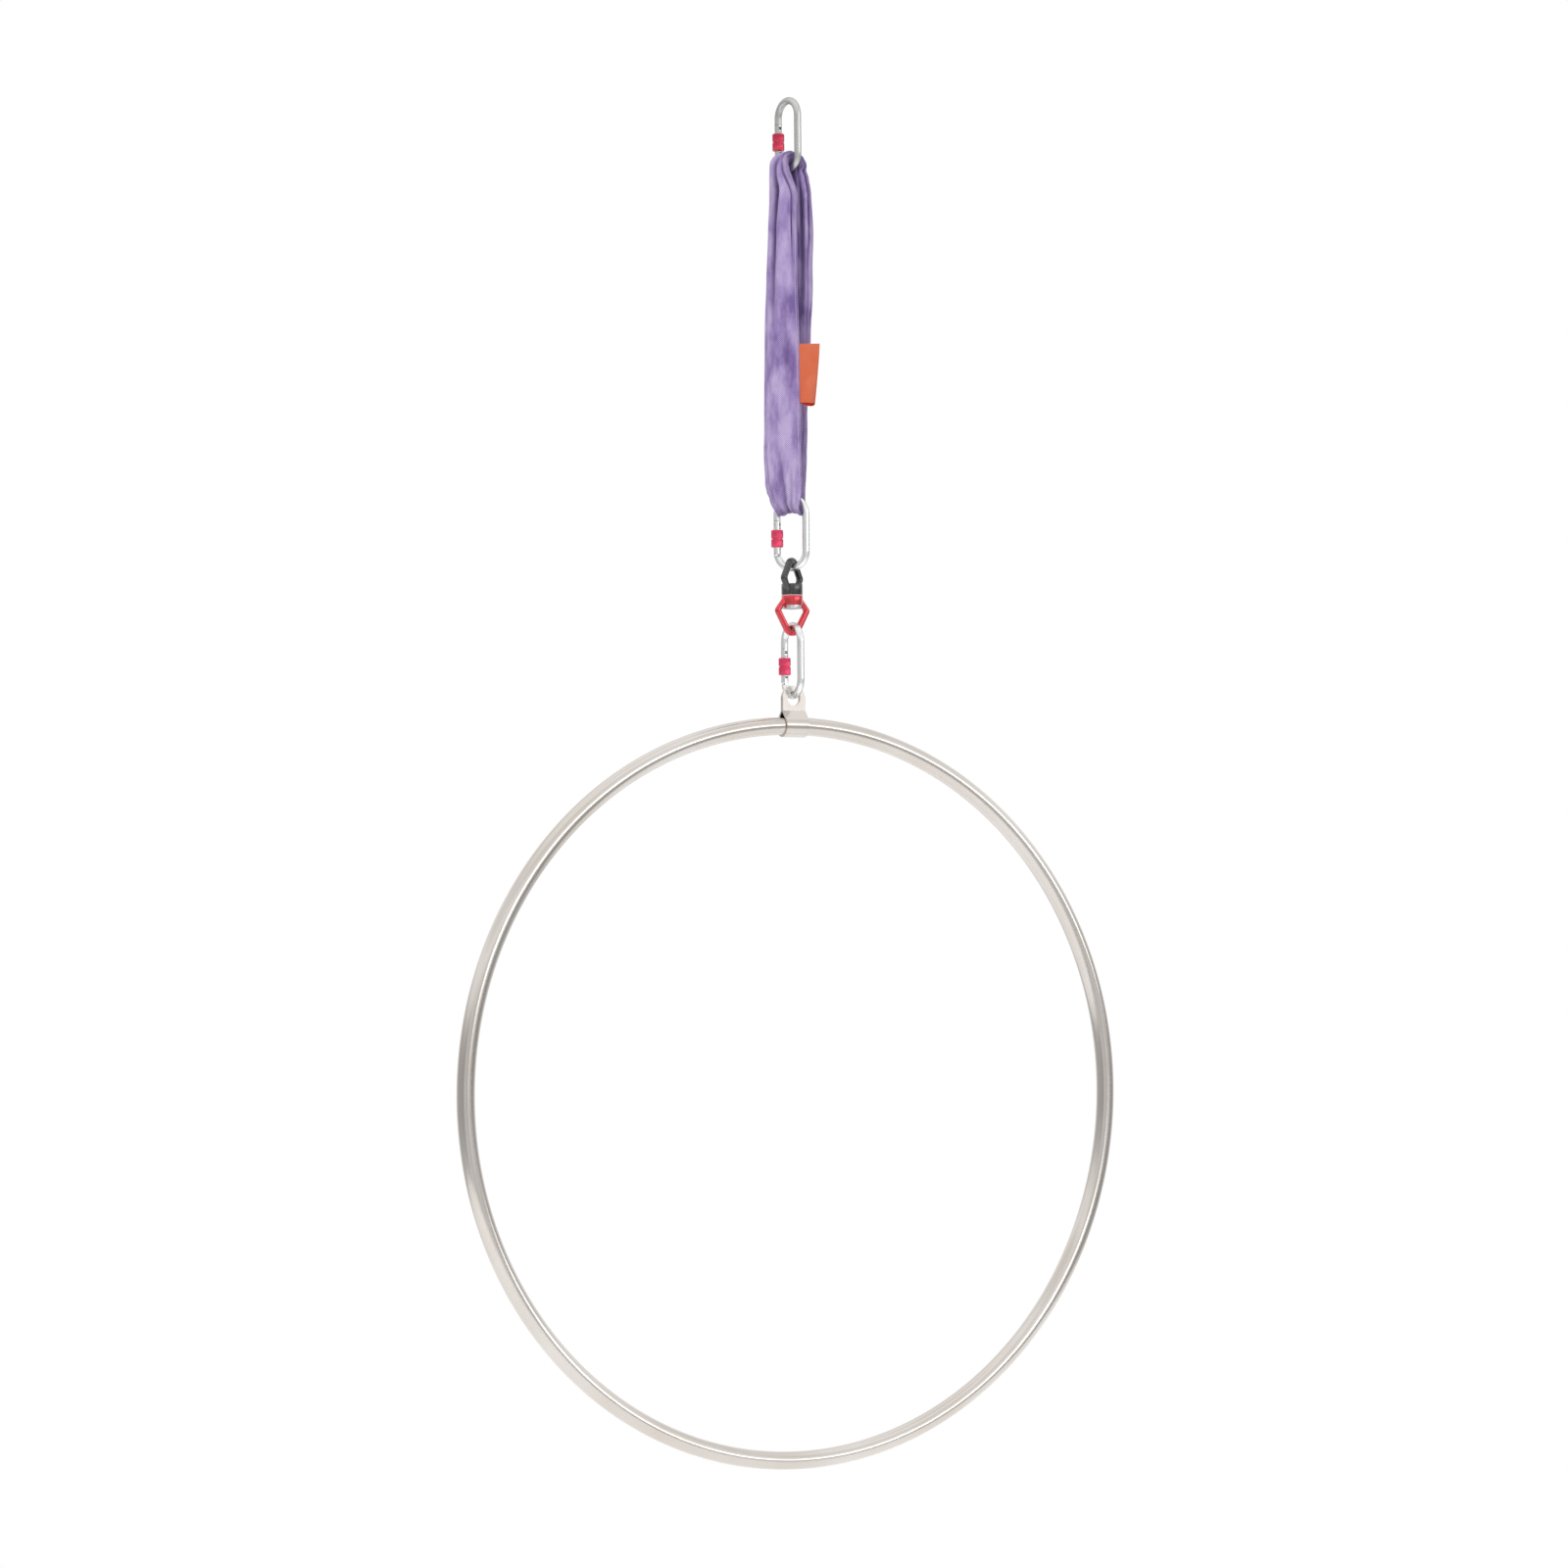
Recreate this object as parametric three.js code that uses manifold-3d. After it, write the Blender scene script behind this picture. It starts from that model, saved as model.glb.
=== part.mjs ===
// An aerial hoop (lyra) on its rigging, from the anchor carabiner down to the steel ring.
// Millimetres, +Z up. The origin is the inside of the anchor carabiner's crown, where the whole
// thing hangs. The ring lies in the XZ plane and Y is square to it.
import * as THREE from "three";
import { mergeVertices } from "three/addons/utils/BufferGeometryUtils.js";
import Module from "manifold-3d";

const wasm = await Module();
wasm.setup();

// Clearances shared by all pieces.
const runningGap = 0.3;
const pinGap = 0.25;
const cutOverrun = 1;

// The ring and its hanging tab.
const hoopOuterDiameter = 1050;
const tubeDiameter = 25;
const tubeWall = 2;
const tubeJointGap = 0.6;
const ferruleLength = 120;
const ferruleWall = 2;
const tabWidth = 36;
const tabThickness = 3;
const tabSeam = 0.6;
const tabBendHeight = 20.5;
const tabHoleDiameter = 20;
const tabHoleRise = 38.5;
const tabHoleClearance = 0.6;

// The oval screw-gate carabiners, three alike.
const carabinerLength = 108;
const carabinerWidth = 56;
const barDiameter = 10;
const noseDepthShare = 1 / 3;
const latchReach = 5.1;
const hingeRise = 26;
const pinDiameter = 3;
const tongueThickness = 4;
const tongueWidth = 8.4;
const tongueReach = 4.9;
const tangThickness = 4;
const tangWidth = 8.5;
const tangRise = 4;
const gateDiameter = 10;
const gateSlotWidth = 4.6;
const gateLowerSlotRise = 7;
const gateBoreDiameter = 5.2;
const boreCapThickness = 4.7;
const plungerDiameter = 4.6;
const plungerLength = 7;
const springWire = 0.8;
const springPitch = 4.3;
const sleeveLength = 24.3;
const sleeveDiameter = 17;
const sleeveRise = 8.7;
const sleeveChamfer = 1.2;
const sleeveGap = 0.45;

// Which way each carabiner's gate-to-spine line points, in degrees from +X.
const anchorAngle = -83;
const middleAngle = -58;
const lowerAngle = -90;

// The round sling.
const slingInnerLength = 474.8;
const slingStrandWidth = 56;
const slingStrandThickness = 18;
const slingStrandOffset = 16.5;
const slingBightWidth = 26;
const slingTopBightThickness = 19.2;
const slingBottomBightThickness = 16;
const slingBarGap = 0.4;
const slingLead = 5;
const slingSpread = 36;
const coverThickness = 1.2;
const joinLength = 40;
const joinThickness = 1.2;
const joinDrop = 285;
const joinOpening = 2;
const labelWidth = 30;
const labelHeight = 83;
const labelThickness = 1.6;
const labelDrop = 288.5;
const labelAngle = -45;

// The ball-bearing swivel.
const eyeBar = 9;
const eyeThickness = 9.6;
const eyeEdgeRadius = 4;
const edgeLimitShare = 0.45;
const eyeHalfWidth = 27;
const eyeCrownRadius = 5.7;
const eyeClearance = 0.5;
const eyeVertexRadius = 7;
const eyeVertexDrop = 7.5;
const windowCornerRadius = 2.5;
const windowTopWidth = 30;
const upperNeck = 32.7;
const lowerNeck = 38.6;
const swivelDiameter = 30;
const upperBarrelHeight = 15.2;
const lowerBarrelHeight = 14.6;
const barrelChamfer = 0.8;
const shoulderRise = 13.5;
const shoulderRound = 1;
const swivelGap = 0.5;
const flangeThickness = 3;
const bearingHeight = 7;
const bearingOuterDiameter = 22;
const bearingBore = 8.6;
const bearingPitchDiameter = 15.2;
const raceShoulderGap = 2.2;
const ballDiameter = 4;
const ballCount = 7;
const cageThickness = 1;
const cageHeight = 5.2;
const boltDiameter = 8;
const boltReach = 11.5;
const boltHeadDiameter = 12.4;
const boltHeadHeight = 3.6;
const capDiameter = 27;
const capHeight = 4.4;
const capRimWidth = 1.2;

// How finely curved surfaces are divided.
const hoopSteps = 60;
const ferruleSteps = 4;
const wrapSegments = 10;
const barSteps = 34;
const lathePoints = 20;
const sleevePoints = 16;
const smallPoints = 12;
const roundFootSteps = 4;
const ovalSegments = 5;
const springStepsPerTurn = 7;
const wireSegments = 2;
const slingSides = 10;
const bightSteps = 6;
const strandSteps = 10;
const halfStrandSteps = 6;
const joinSteps = 2;
const labelSteps = 6;
const edgeSteps = 2;
const cornerPoints = 3;
const grooveSegments = 8;
const ballWidthSegments = 8;
const ballHeightSegments = 6;
const mergeTolerance = 1e-4;

const finishes = {
  satinSteel: new THREE.MeshStandardMaterial({ color: 0xcfc9c2, roughness: 0.35, metalness: 1 }),
  zincSteel: new THREE.MeshStandardMaterial({ color: 0xd4d6d6, roughness: 0.2, metalness: 1 }),
  brightSteel: new THREE.MeshStandardMaterial({ color: 0xdedede, roughness: 0.15, metalness: 1 }),
  crimson: new THREE.MeshStandardMaterial({ color: 0xc22a50, roughness: 0.35, metalness: 0.6 }),
  pink: new THREE.MeshStandardMaterial({ color: 0xe0406a, roughness: 0.35, metalness: 0.6 }),
  black: new THREE.MeshStandardMaterial({ color: 0x2c2d2e, roughness: 0.35, metalness: 0.5 }),
  red: new THREE.MeshStandardMaterial({ color: 0xc22f3c, roughness: 0.3, metalness: 0.6 }),
  purple: new THREE.MeshStandardMaterial({ color: 0x8a6bb5, roughness: 0.7, metalness: 0 }),
  yarn: new THREE.MeshStandardMaterial({ color: 0xe8e4dc, roughness: 0.9, metalness: 0 }),
  orange: new THREE.MeshStandardMaterial({ color: 0xe8683a, roughness: 0.8, metalness: 0 }),
};

// Levels down the chain, each from the one above it.
const barRadius = barDiameter / 2;
const arcRadius = (carabinerWidth - barDiameter) / 2;
const straightLength = carabinerLength - carabinerWidth;
const footCentreDepth = carabinerLength - carabinerWidth / 2;
const noseDepth = carabinerLength * noseDepthShare;
const latchDepth = noseDepth + latchReach;
const hingeDepth = carabinerLength - hingeRise;
const anchorApex = barDiameter;
const slingTopAxis = anchorApex - carabinerLength + barRadius;
const bearingRadius = barRadius + slingBarGap;
const slingBottomAxis = slingTopAxis - slingInnerLength + 2 * bearingRadius;
const middleApex = slingBottomAxis + barRadius;
const middleFootAxis = middleApex - carabinerLength + barRadius;
const upperCrownAxis = middleFootAxis + barRadius + eyeClearance + eyeBar / 2;
const upperBarrelTop = upperCrownAxis - upperNeck;
const upperBarrelBottom = upperBarrelTop - upperBarrelHeight;
const lowerBarrelTop = upperBarrelBottom - swivelGap;
const lowerBarrelBottom = lowerBarrelTop - lowerBarrelHeight;
const lowerCrownAxis = lowerBarrelBottom - lowerNeck;
const lowerApex = lowerCrownAxis + eyeBar / 2 + eyeClearance + barDiameter;
const lowerFootAxis = lowerApex - carabinerLength + barRadius;
const tabHoleAxis = lowerFootAxis + barRadius + tabHoleClearance - tabHoleDiameter / 2;
const tubeAxis = tabHoleAxis - tabHoleRise;
const hoopRadius = (hoopOuterDiameter - tubeDiameter) / 2;
const hoopCentre = tubeAxis - hoopRadius;

/** A closed three.js geometry as a solid that can be joined and cut, its faces turned to point out. */
function solidOf(geometry) {
  const bare = geometry.clone();
  bare.deleteAttribute("normal");
  bare.deleteAttribute("uv");
  const merged = mergeVertices(bare, mergeTolerance);
  const vertProperties = new Float32Array(merged.attributes.position.array);
  const triVerts = new Uint32Array(merged.index.array);
  const made = new wasm.Manifold(new wasm.Mesh({ numProp: 3, vertProperties, triVerts }));
  if (made.volume() > 0) return made;
  return new wasm.Manifold(new wasm.Mesh({ numProp: 3, vertProperties, triVerts: triVerts.reverse() }));
}

/** The geometry of a solid. */
function geometryOf(solid) {
  const mesh = solid.getMesh();
  const geometry = new THREE.BufferGeometry();
  geometry.setAttribute("position", new THREE.BufferAttribute(mesh.vertProperties, 3));
  geometry.setIndex(new THREE.BufferAttribute(mesh.triVerts, 1));
  geometry.computeVertexNormals();
  return geometry;
}

/** A named mesh from a geometry or a solid. */
function piece(name, shape, finish) {
  const geometry = shape.isBufferGeometry ? shape : geometryOf(shape);
  const mesh = new THREE.Mesh(geometry, finish);
  mesh.name = name;
  return mesh;
}

/** A solid of revolution about Z from [radius, height] points given upwards on the outside. */
function turned(points, segments = lathePoints) {
  const profile = points.map(([radius, height]) => new THREE.Vector2(radius, height));
  const closed = profile[0].equals(profile.at(-1)) || (profile[0].x === 0 && profile.at(-1).x === 0);
  if (!closed) profile.push(profile[0].clone());
  return new THREE.LatheGeometry(profile, segments).rotateX(Math.PI / 2);
}

/** A solid round rod along Z between two heights. */
function rod(radius, low, high, segments = lathePoints) {
  return turned([[0, low], [radius, low], [radius, high], [0, high]], segments);
}

/** A ring with a square section about Z. */
function ring(inner, outer, low, high, segments = lathePoints) {
  return turned([[inner, low], [outer, low], [outer, high], [inner, high], [inner, low]], segments);
}

/** A box between two corners. */
function block(low, high) {
  const size = high.map((value, axis) => value - low[axis]);
  const middle = high.map((value, axis) => (value + low[axis]) / 2);
  return new THREE.BoxGeometry(...size).translate(...middle);
}

/** A flat shape drawn in X and Z, as a plate centred on Y = 0. */
function plate(shape, thickness, curveSegments = ovalSegments) {
  return new THREE.ExtrudeGeometry(shape, { depth: thickness, bevelEnabled: false, curveSegments })
    .translate(0, 0, -thickness / 2)
    .rotateX(Math.PI / 2);
}

/** A filled circle, with a round hole if an inner radius is given. */
function disc(radius, inner = 0) {
  const shape = new THREE.Shape();
  shape.absarc(0, 0, radius, 0, 2 * Math.PI);
  if (inner > 0) {
    const hole = new THREE.Path();
    hole.absarc(0, 0, inner, 0, 2 * Math.PI);
    shape.holes.push(hole);
  }
  return shape;
}

/** The outline of a tight belt round circles [x, y, radius] given anticlockwise. */
function belt(circles) {
  const normals = circles.map(([x, y, radius], index) => {
    const [nextX, nextY, nextRadius] = circles[(index + 1) % circles.length];
    const along = Math.atan2(nextY - y, nextX - x);
    const apart = Math.hypot(nextX - x, nextY - y);
    return along - Math.PI / 2 + Math.asin((radius - nextRadius) / apart);
  });
  const shape = new THREE.Shape();
  circles.forEach(([x, y, radius], index) => {
    const from = normals[(index + circles.length - 1) % circles.length];
    shape.absarc(x, y, radius, from, normals[index], false);
  });
  return shape;
}

/** A belt's plate whose rims are rounded by an edge radius, or flared by it where it cuts a window. */
function roundedPlate(circles, thickness, edgeRadius, flare) {
  const overrun = flare ? cutOverrun : 0;
  const quarter = Array.from({ length: edgeSteps + 1 }, (_, step) => {
    const turn = (step / edgeSteps) * (Math.PI / 2);
    const inset = edgeRadius * (1 - Math.sin(turn));
    return [inset, thickness / 2 - edgeRadius + edgeRadius * Math.cos(turn)];
  });
  const levels = quarter.map(([inset, height]) => [flare ? -inset : inset, height]);
  if (flare) levels.unshift([levels[0][0], levels[0][1] + overrun]);
  const mirrored = levels.map(([inset, height]) => [inset, -height]).reverse();
  const rings = [...levels, ...mirrored].map(([inset, height]) => {
    const offset = circles.map(([x, y, radius]) => [x, y, radius - inset]);
    const outline = belt(offset).getPoints(cornerPoints);
    outline.pop();
    return outline.map((point) => new THREE.Vector3(point.x, height, point.y));
  });
  return solidOf(loft(rings));
}

/** A path whose point at a share t of its length comes from a function. */
class Route extends THREE.Curve {
  constructor(pointAt) {
    super();
    this.pointAt = pointAt;
  }
  getPoint(t, target = new THREE.Vector3()) {
    return target.copy(this.pointAt(t));
  }
}

/** A shape swept along a route. */
function swept(shape, route, steps, curveSegments = ovalSegments) {
  return new THREE.ExtrudeGeometry(shape, { steps, extrudePath: route, curveSegments });
}

/** A closed body through rings of points, with flat ends. */
function loft(rings) {
  const sides = rings[0].length;
  const positions = rings.flat().flatMap((point) => [point.x, point.y, point.z]);
  const faces = [];
  for (let row = 0; row < rings.length - 1; row += 1) {
    for (let side = 0; side < sides; side += 1) {
      const next = (side + 1) % sides;
      const a = row * sides + side;
      const b = row * sides + next;
      faces.push(a, b, b + sides, a, b + sides, a + sides);
    }
  }
  const last = (rings.length - 1) * sides;
  for (let side = 1; side < sides - 1; side += 1) {
    faces.push(0, side + 1, side, last, last + side, last + side + 1);
  }
  const geometry = new THREE.BufferGeometry();
  geometry.setAttribute("position", new THREE.Float32BufferAttribute(positions, 3));
  geometry.setIndex(faces);
  return geometry;
}

/** A unit vector in the XY plane at an angle in degrees. */
function bearing(degrees) {
  const angle = THREE.MathUtils.degToRad(degrees);
  return new THREE.Vector3(Math.cos(angle), Math.sin(angle), 0);
}

/**
 * A point of the carabiner's centreline, by its distance from the crown. The spine side is positive,
 * and the line goes on round the foot and up the gate's side.
 */
function ovalPoint(distance) {
  const side = distance < 0 ? -1 : 1;
  const quarter = (arcRadius * Math.PI) / 2;
  const crownCentre = -barRadius - arcRadius;
  const along = Math.abs(distance);
  if (along <= quarter) {
    const turn = along / arcRadius;
    const out = side * arcRadius * Math.sin(turn);
    return new THREE.Vector3(out, 0, crownCentre + arcRadius * Math.cos(turn));
  }
  if (along <= quarter + straightLength) {
    return new THREE.Vector3(side * arcRadius, 0, crownCentre - (along - quarter));
  }
  const turn = Math.min((along - quarter - straightLength) / arcRadius, Math.PI);
  const rise = along - quarter - straightLength - arcRadius * turn;
  const foot = rise - footCentreDepth - arcRadius * Math.sin(turn);
  return new THREE.Vector3(side * arcRadius * Math.cos(turn), 0, foot);
}

const gateAxis = -arcRadius;
const shoulderDepth = hingeDepth + gateDiameter / 2 + runningGap;
const gateTopDepth = noseDepth + runningGap + pinGap;
const tongueDepth = latchDepth + tongueReach;
const upperSlotDepth = tongueDepth + cutOverrun + runningGap;
const boreTopDepth = upperSlotDepth + boreCapThickness;

/** The nose's hooked tongue, which the latch pin slips behind. */
function noseTongue() {
  const half = tongueWidth / 2;
  const pinRadius = pinDiameter / 2;
  const notchTop = -latchDepth + pinRadius + runningGap;
  const notchFloor = -latchDepth - pinRadius - 2 * runningGap - pinGap;
  const notchWall = -pinRadius - runningGap;
  const shape = new THREE.Shape();
  shape.moveTo(-half, -noseDepth + cutOverrun);
  shape.lineTo(-half, -tongueDepth);
  shape.lineTo(half, -tongueDepth);
  shape.lineTo(half, notchFloor);
  shape.lineTo(notchWall, notchFloor);
  shape.lineTo(notchWall, notchTop);
  shape.lineTo(half, notchTop);
  shape.lineTo(half, -noseDepth + cutOverrun);
  return plate(shape, tongueThickness).translate(gateAxis, 0, 0);
}

/** A rod across the gate, used for pins and for the holes that they go through. */
function crossRod(radius, halfLength, depth) {
  return rod(radius, -halfLength, halfLength, smallPoints)
    .rotateX(Math.PI / 2)
    .translate(gateAxis, 0, -depth);
}

/** The bent bar of a carabiner, with its nose at the top of the gate and its tang at the hinge. */
function carabinerBody() {
  const quarter = (arcRadius * Math.PI) / 2;
  const crownCentreDepth = barRadius + arcRadius;
  const noseEnd = -(quarter + noseDepth - crownCentreDepth + cutOverrun);
  const hingeStretch = Math.max(footCentreDepth - shoulderDepth + cutOverrun, 0);
  const hingeEnd = quarter + straightLength + arcRadius * Math.PI + hingeStretch;
  const route = new Route((t) => ovalPoint(noseEnd + t * (hingeEnd - noseEnd)));
  const reach = barDiameter;
  const mouth = block(
    [gateAxis - reach, -reach, -shoulderDepth],
    [gateAxis + reach, reach, -noseDepth],
  );
  const tang = block(
    [gateAxis - tangWidth / 2, -tangThickness / 2, -shoulderDepth - cutOverrun],
    [gateAxis + tangWidth / 2, tangThickness / 2, -hingeDepth + tangRise],
  );
  return solidOf(swept(disc(barRadius), route, barSteps))
    .subtract(solidOf(mouth))
    .add(solidOf(noseTongue()))
    .add(solidOf(tang))
    .subtract(solidOf(crossRod(pinDiameter / 2 + pinGap, gateDiameter, hingeDepth)));
}

/** The gate: a bored bar, slotted at the top for the nose and at the foot for the tang. */
function carabinerGate() {
  const radius = gateDiameter / 2;
  const slot = gateSlotWidth / 2;
  const boreRadius = gateBoreDiameter / 2;
  const lowerSlotTop = -hingeDepth + gateLowerSlotRise;
  const roundFoot = Array.from({ length: roundFootSteps }, (_, step) => {
    const turn = (step / roundFootSteps) * (Math.PI / 2);
    return [radius * Math.sin(turn), -hingeDepth - radius * Math.cos(turn)];
  });
  const bar = turned(
    [...roundFoot, [radius, -hingeDepth], [radius, -gateTopDepth], [0, -gateTopDepth]],
    smallPoints,
  );
  const upperSlot = block(
    [-gateDiameter, -slot, -upperSlotDepth],
    [gateDiameter, slot, -gateTopDepth + cutOverrun],
  );
  const lowerSlot = block(
    [-gateDiameter, -slot, -hingeDepth - gateDiameter],
    [gateDiameter, slot, lowerSlotTop],
  );
  const bore = rod(boreRadius, lowerSlotTop - cutOverrun, -boreTopDepth, smallPoints);
  const pinHole = pinDiameter / 2 + pinGap;
  return solidOf(bar)
    .subtract(solidOf(upperSlot))
    .subtract(solidOf(lowerSlot))
    .subtract(solidOf(bore))
    .translate([gateAxis, 0, 0])
    .subtract(solidOf(crossRod(pinHole, gateDiameter, hingeDepth)))
    .subtract(solidOf(crossRod(pinHole, gateDiameter, latchDepth)));
}

/** The screw sleeve on the gate, unscrewed down to the foot of its travel. */
function screwSleeve() {
  const bore = gateDiameter / 2 + sleeveGap;
  const outer = sleeveDiameter / 2;
  const foot = -hingeDepth + sleeveRise;
  const top = foot + sleeveLength;
  return turned([
    [bore, foot], [outer - sleeveChamfer, foot], [outer, foot + sleeveChamfer],
    [outer, top - sleeveChamfer], [outer - sleeveChamfer, top], [bore, top], [bore, foot],
  ], sleevePoints).translate(gateAxis, 0, 0);
}

/** The coil spring in the gate, between the bore's end and the plunger. */
function gateSpring(low, high) {
  const radius = gateBoreDiameter / 2 - runningGap - springWire / 2;
  const from = low + springWire / 2;
  const to = high - springWire / 2;
  const turns = Math.max(Math.round((to - from) / springPitch), 1);
  const route = new Route((t) => {
    const turn = 2 * Math.PI * turns * t;
    return new THREE.Vector3(radius * Math.cos(turn), radius * Math.sin(turn), from + t * (to - from));
  });
  const steps = turns * springStepsPerTurn;
  return swept(disc(springWire / 2), route, steps, wireSegments).translate(gateAxis, 0, 0);
}

/** One carabiner as a group with its crown at a height and its gate-to-spine line at an angle. */
function carabiner(name, apex, angle, sleeveFinish) {
  const plungerFoot = -hingeDepth + tangRise + runningGap;
  const plungerTop = plungerFoot + plungerLength;
  const pinHalf = gateDiameter / 2 - pinGap;
  const rivet = crossRod(pinDiameter / 2, pinHalf, hingeDepth);
  const latchPin = crossRod(pinDiameter / 2, pinHalf, latchDepth);
  const plunger = rod(plungerDiameter / 2, plungerFoot, plungerTop, smallPoints)
    .translate(gateAxis, 0, 0);
  const spring = gateSpring(plungerTop + runningGap, -boreTopDepth - runningGap);
  const group = new THREE.Group();
  group.add(
    piece(name + "_carabiner_body", carabinerBody(), finishes.zincSteel),
    piece(name + "_carabiner_gate", carabinerGate(), finishes.zincSteel),
    piece(name + "_carabiner_screw_sleeve", screwSleeve(), sleeveFinish),
    piece(name + "_carabiner_hinge_rivet", rivet, finishes.brightSteel),
    piece(name + "_carabiner_latch_pin", latchPin, finishes.brightSteel),
    piece(name + "_carabiner_plunger", plunger, finishes.brightSteel),
    piece(name + "_carabiner_gate_spring", spring, finishes.brightSteel),
  );
  group.position.z = apex;
  group.rotation.z = THREE.MathUtils.degToRad(angle);
  return group;
}

/** How far the inside of a carabiner's arc stands above its lowest point, off its middle. */
function arcLift(offset) {
  const inner = arcRadius - barRadius;
  const reach = Math.min(Math.abs(offset), slingBightWidth / 2);
  return inner - Math.sqrt(inner * inner - reach * reach);
}

/** One ring of points round the sling. The station's turn tips its outward side up or down. */
function slingRing(station, inset) {
  const across = bearing(station.angle);
  const outward = bearing(station.angle + 90).multiplyScalar(Math.cos(station.turn));
  outward.z = Math.sin(station.turn);
  const halfWidth = station.width / 2 - inset;
  const halfThickness = station.thickness / 2 - inset;
  return Array.from({ length: slingSides }, (_, side) => {
    const turn = (2 * Math.PI * side) / slingSides;
    const along = halfWidth * Math.cos(turn);
    const lift = station.bend * arcLift(along);
    const out = station.offset + halfThickness * Math.sin(turn) + lift;
    return new THREE.Vector3(0, 0, station.axis)
      .addScaledVector(across, along)
      .addScaledVector(outward, out);
  });
}

/** How the sling lies at a height on one strand: side is 1 for the back strand and -1 for the front. */
function strandStation(height, side) {
  const fall = (slingTopAxis - height) / (slingTopAxis - slingBottomAxis);
  const ease = (distance) => THREE.MathUtils.smoothstep(distance, slingLead, slingLead + slingSpread);
  const spread = Math.min(ease(slingTopAxis - height), ease(height - slingBottomAxis));
  const bightThickness = fall < 1 / 2 ? slingTopBightThickness : slingBottomBightThickness;
  const bightOffset = bearingRadius + bightThickness / 2;
  return {
    axis: height,
    angle: THREE.MathUtils.lerp(anchorAngle, middleAngle, THREE.MathUtils.smoothstep(fall, 0, 1)),
    turn: side > 0 ? 0 : Math.PI,
    width: THREE.MathUtils.lerp(slingBightWidth, slingStrandWidth, spread),
    thickness: THREE.MathUtils.lerp(bightThickness, slingStrandThickness, spread),
    offset: THREE.MathUtils.lerp(bightOffset, slingStrandOffset, spread),
    bend: 1 - spread,
  };
}

/** Stations round a bight from one turn to another, in steps. */
function bightStations(axis, angle, thickness, fromTurn, toTurn) {
  return Array.from({ length: bightSteps - 1 }, (_, index) => ({
    axis,
    angle,
    turn: fromTurn + ((index + 1) / bightSteps) * (toTurn - fromTurn),
    width: slingBightWidth,
    thickness,
    offset: bearingRadius + thickness / 2,
    bend: 1,
  }));
}

/** Stations down or up one strand between two heights, closer together near both ends. */
function strandStations(from, to, side, steps) {
  return Array.from({ length: steps + 1 }, (_, index) => {
    const share = (1 - Math.cos((Math.PI * index) / steps)) / 2;
    return strandStation(THREE.MathUtils.lerp(from, to, share), side);
  });
}

const joinLevel = slingTopAxis - joinDrop;

/** The whole loop of the sling, open at the join in the back strand by a gap. */
function slingLoop(gap, inset) {
  const stations = [
    ...strandStations(joinLevel + gap / 2, slingTopAxis, 1, halfStrandSteps),
    ...bightStations(slingTopAxis, anchorAngle, slingTopBightThickness, 0, Math.PI),
    ...strandStations(slingTopAxis, slingBottomAxis, -1, strandSteps),
    ...bightStations(slingBottomAxis, middleAngle, slingBottomBightThickness, Math.PI, 2 * Math.PI),
    ...strandStations(slingBottomAxis, joinLevel - gap / 2, 1, halfStrandSteps),
  ];
  return solidOf(loft(stations.map((station) => slingRing(station, inset))));
}

/** The woven tube that covers the sling, open where its ends meet. */
function slingCover() {
  return slingLoop(joinOpening, 0).subtract(slingLoop(joinOpening / 2, coverThickness));
}

/** The endless bundle of yarn inside the cover, cut square where its first and last turns end. */
function slingCore() {
  return slingLoop(joinOpening / 4, coverThickness + runningGap);
}

/** The sewn band over the cover's two ends. */
function slingJoin() {
  const band = (inset, half) => {
    const stations = strandStations(joinLevel + half, joinLevel - half, 1, joinSteps);
    return solidOf(loft(stations.map((station) => slingRing(station, inset))));
  };
  const half = joinLength / 2;
  return band(-runningGap - joinThickness, half).subtract(band(-runningGap, half + cutOverrun));
}

/** The folded label sewn into the front strand's edge. */
function slingLabel() {
  const out = bearing(labelAngle);
  const aside = bearing(labelAngle + 90).multiplyScalar(labelThickness / 2);
  const top = slingTopAxis - labelDrop + labelHeight / 2;
  const rings = Array.from({ length: labelSteps + 1 }, (_, index) => {
    const height = top - (index / labelSteps) * labelHeight;
    const station = strandStation(height, -1);
    const edge = new THREE.Vector3(0, 0, height)
      .addScaledVector(bearing(station.angle + 90), -station.offset)
      .addScaledVector(bearing(station.angle), station.width / 2);
    const root = edge.clone().addScaledVector(out, 2 * runningGap);
    const tip = root.clone().addScaledVector(out, labelWidth);
    return [
      root.clone().add(aside),
      root.clone().sub(aside),
      tip.clone().sub(aside),
      tip.clone().add(aside),
    ];
  });
  return solidOf(loft(rings));
}

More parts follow.
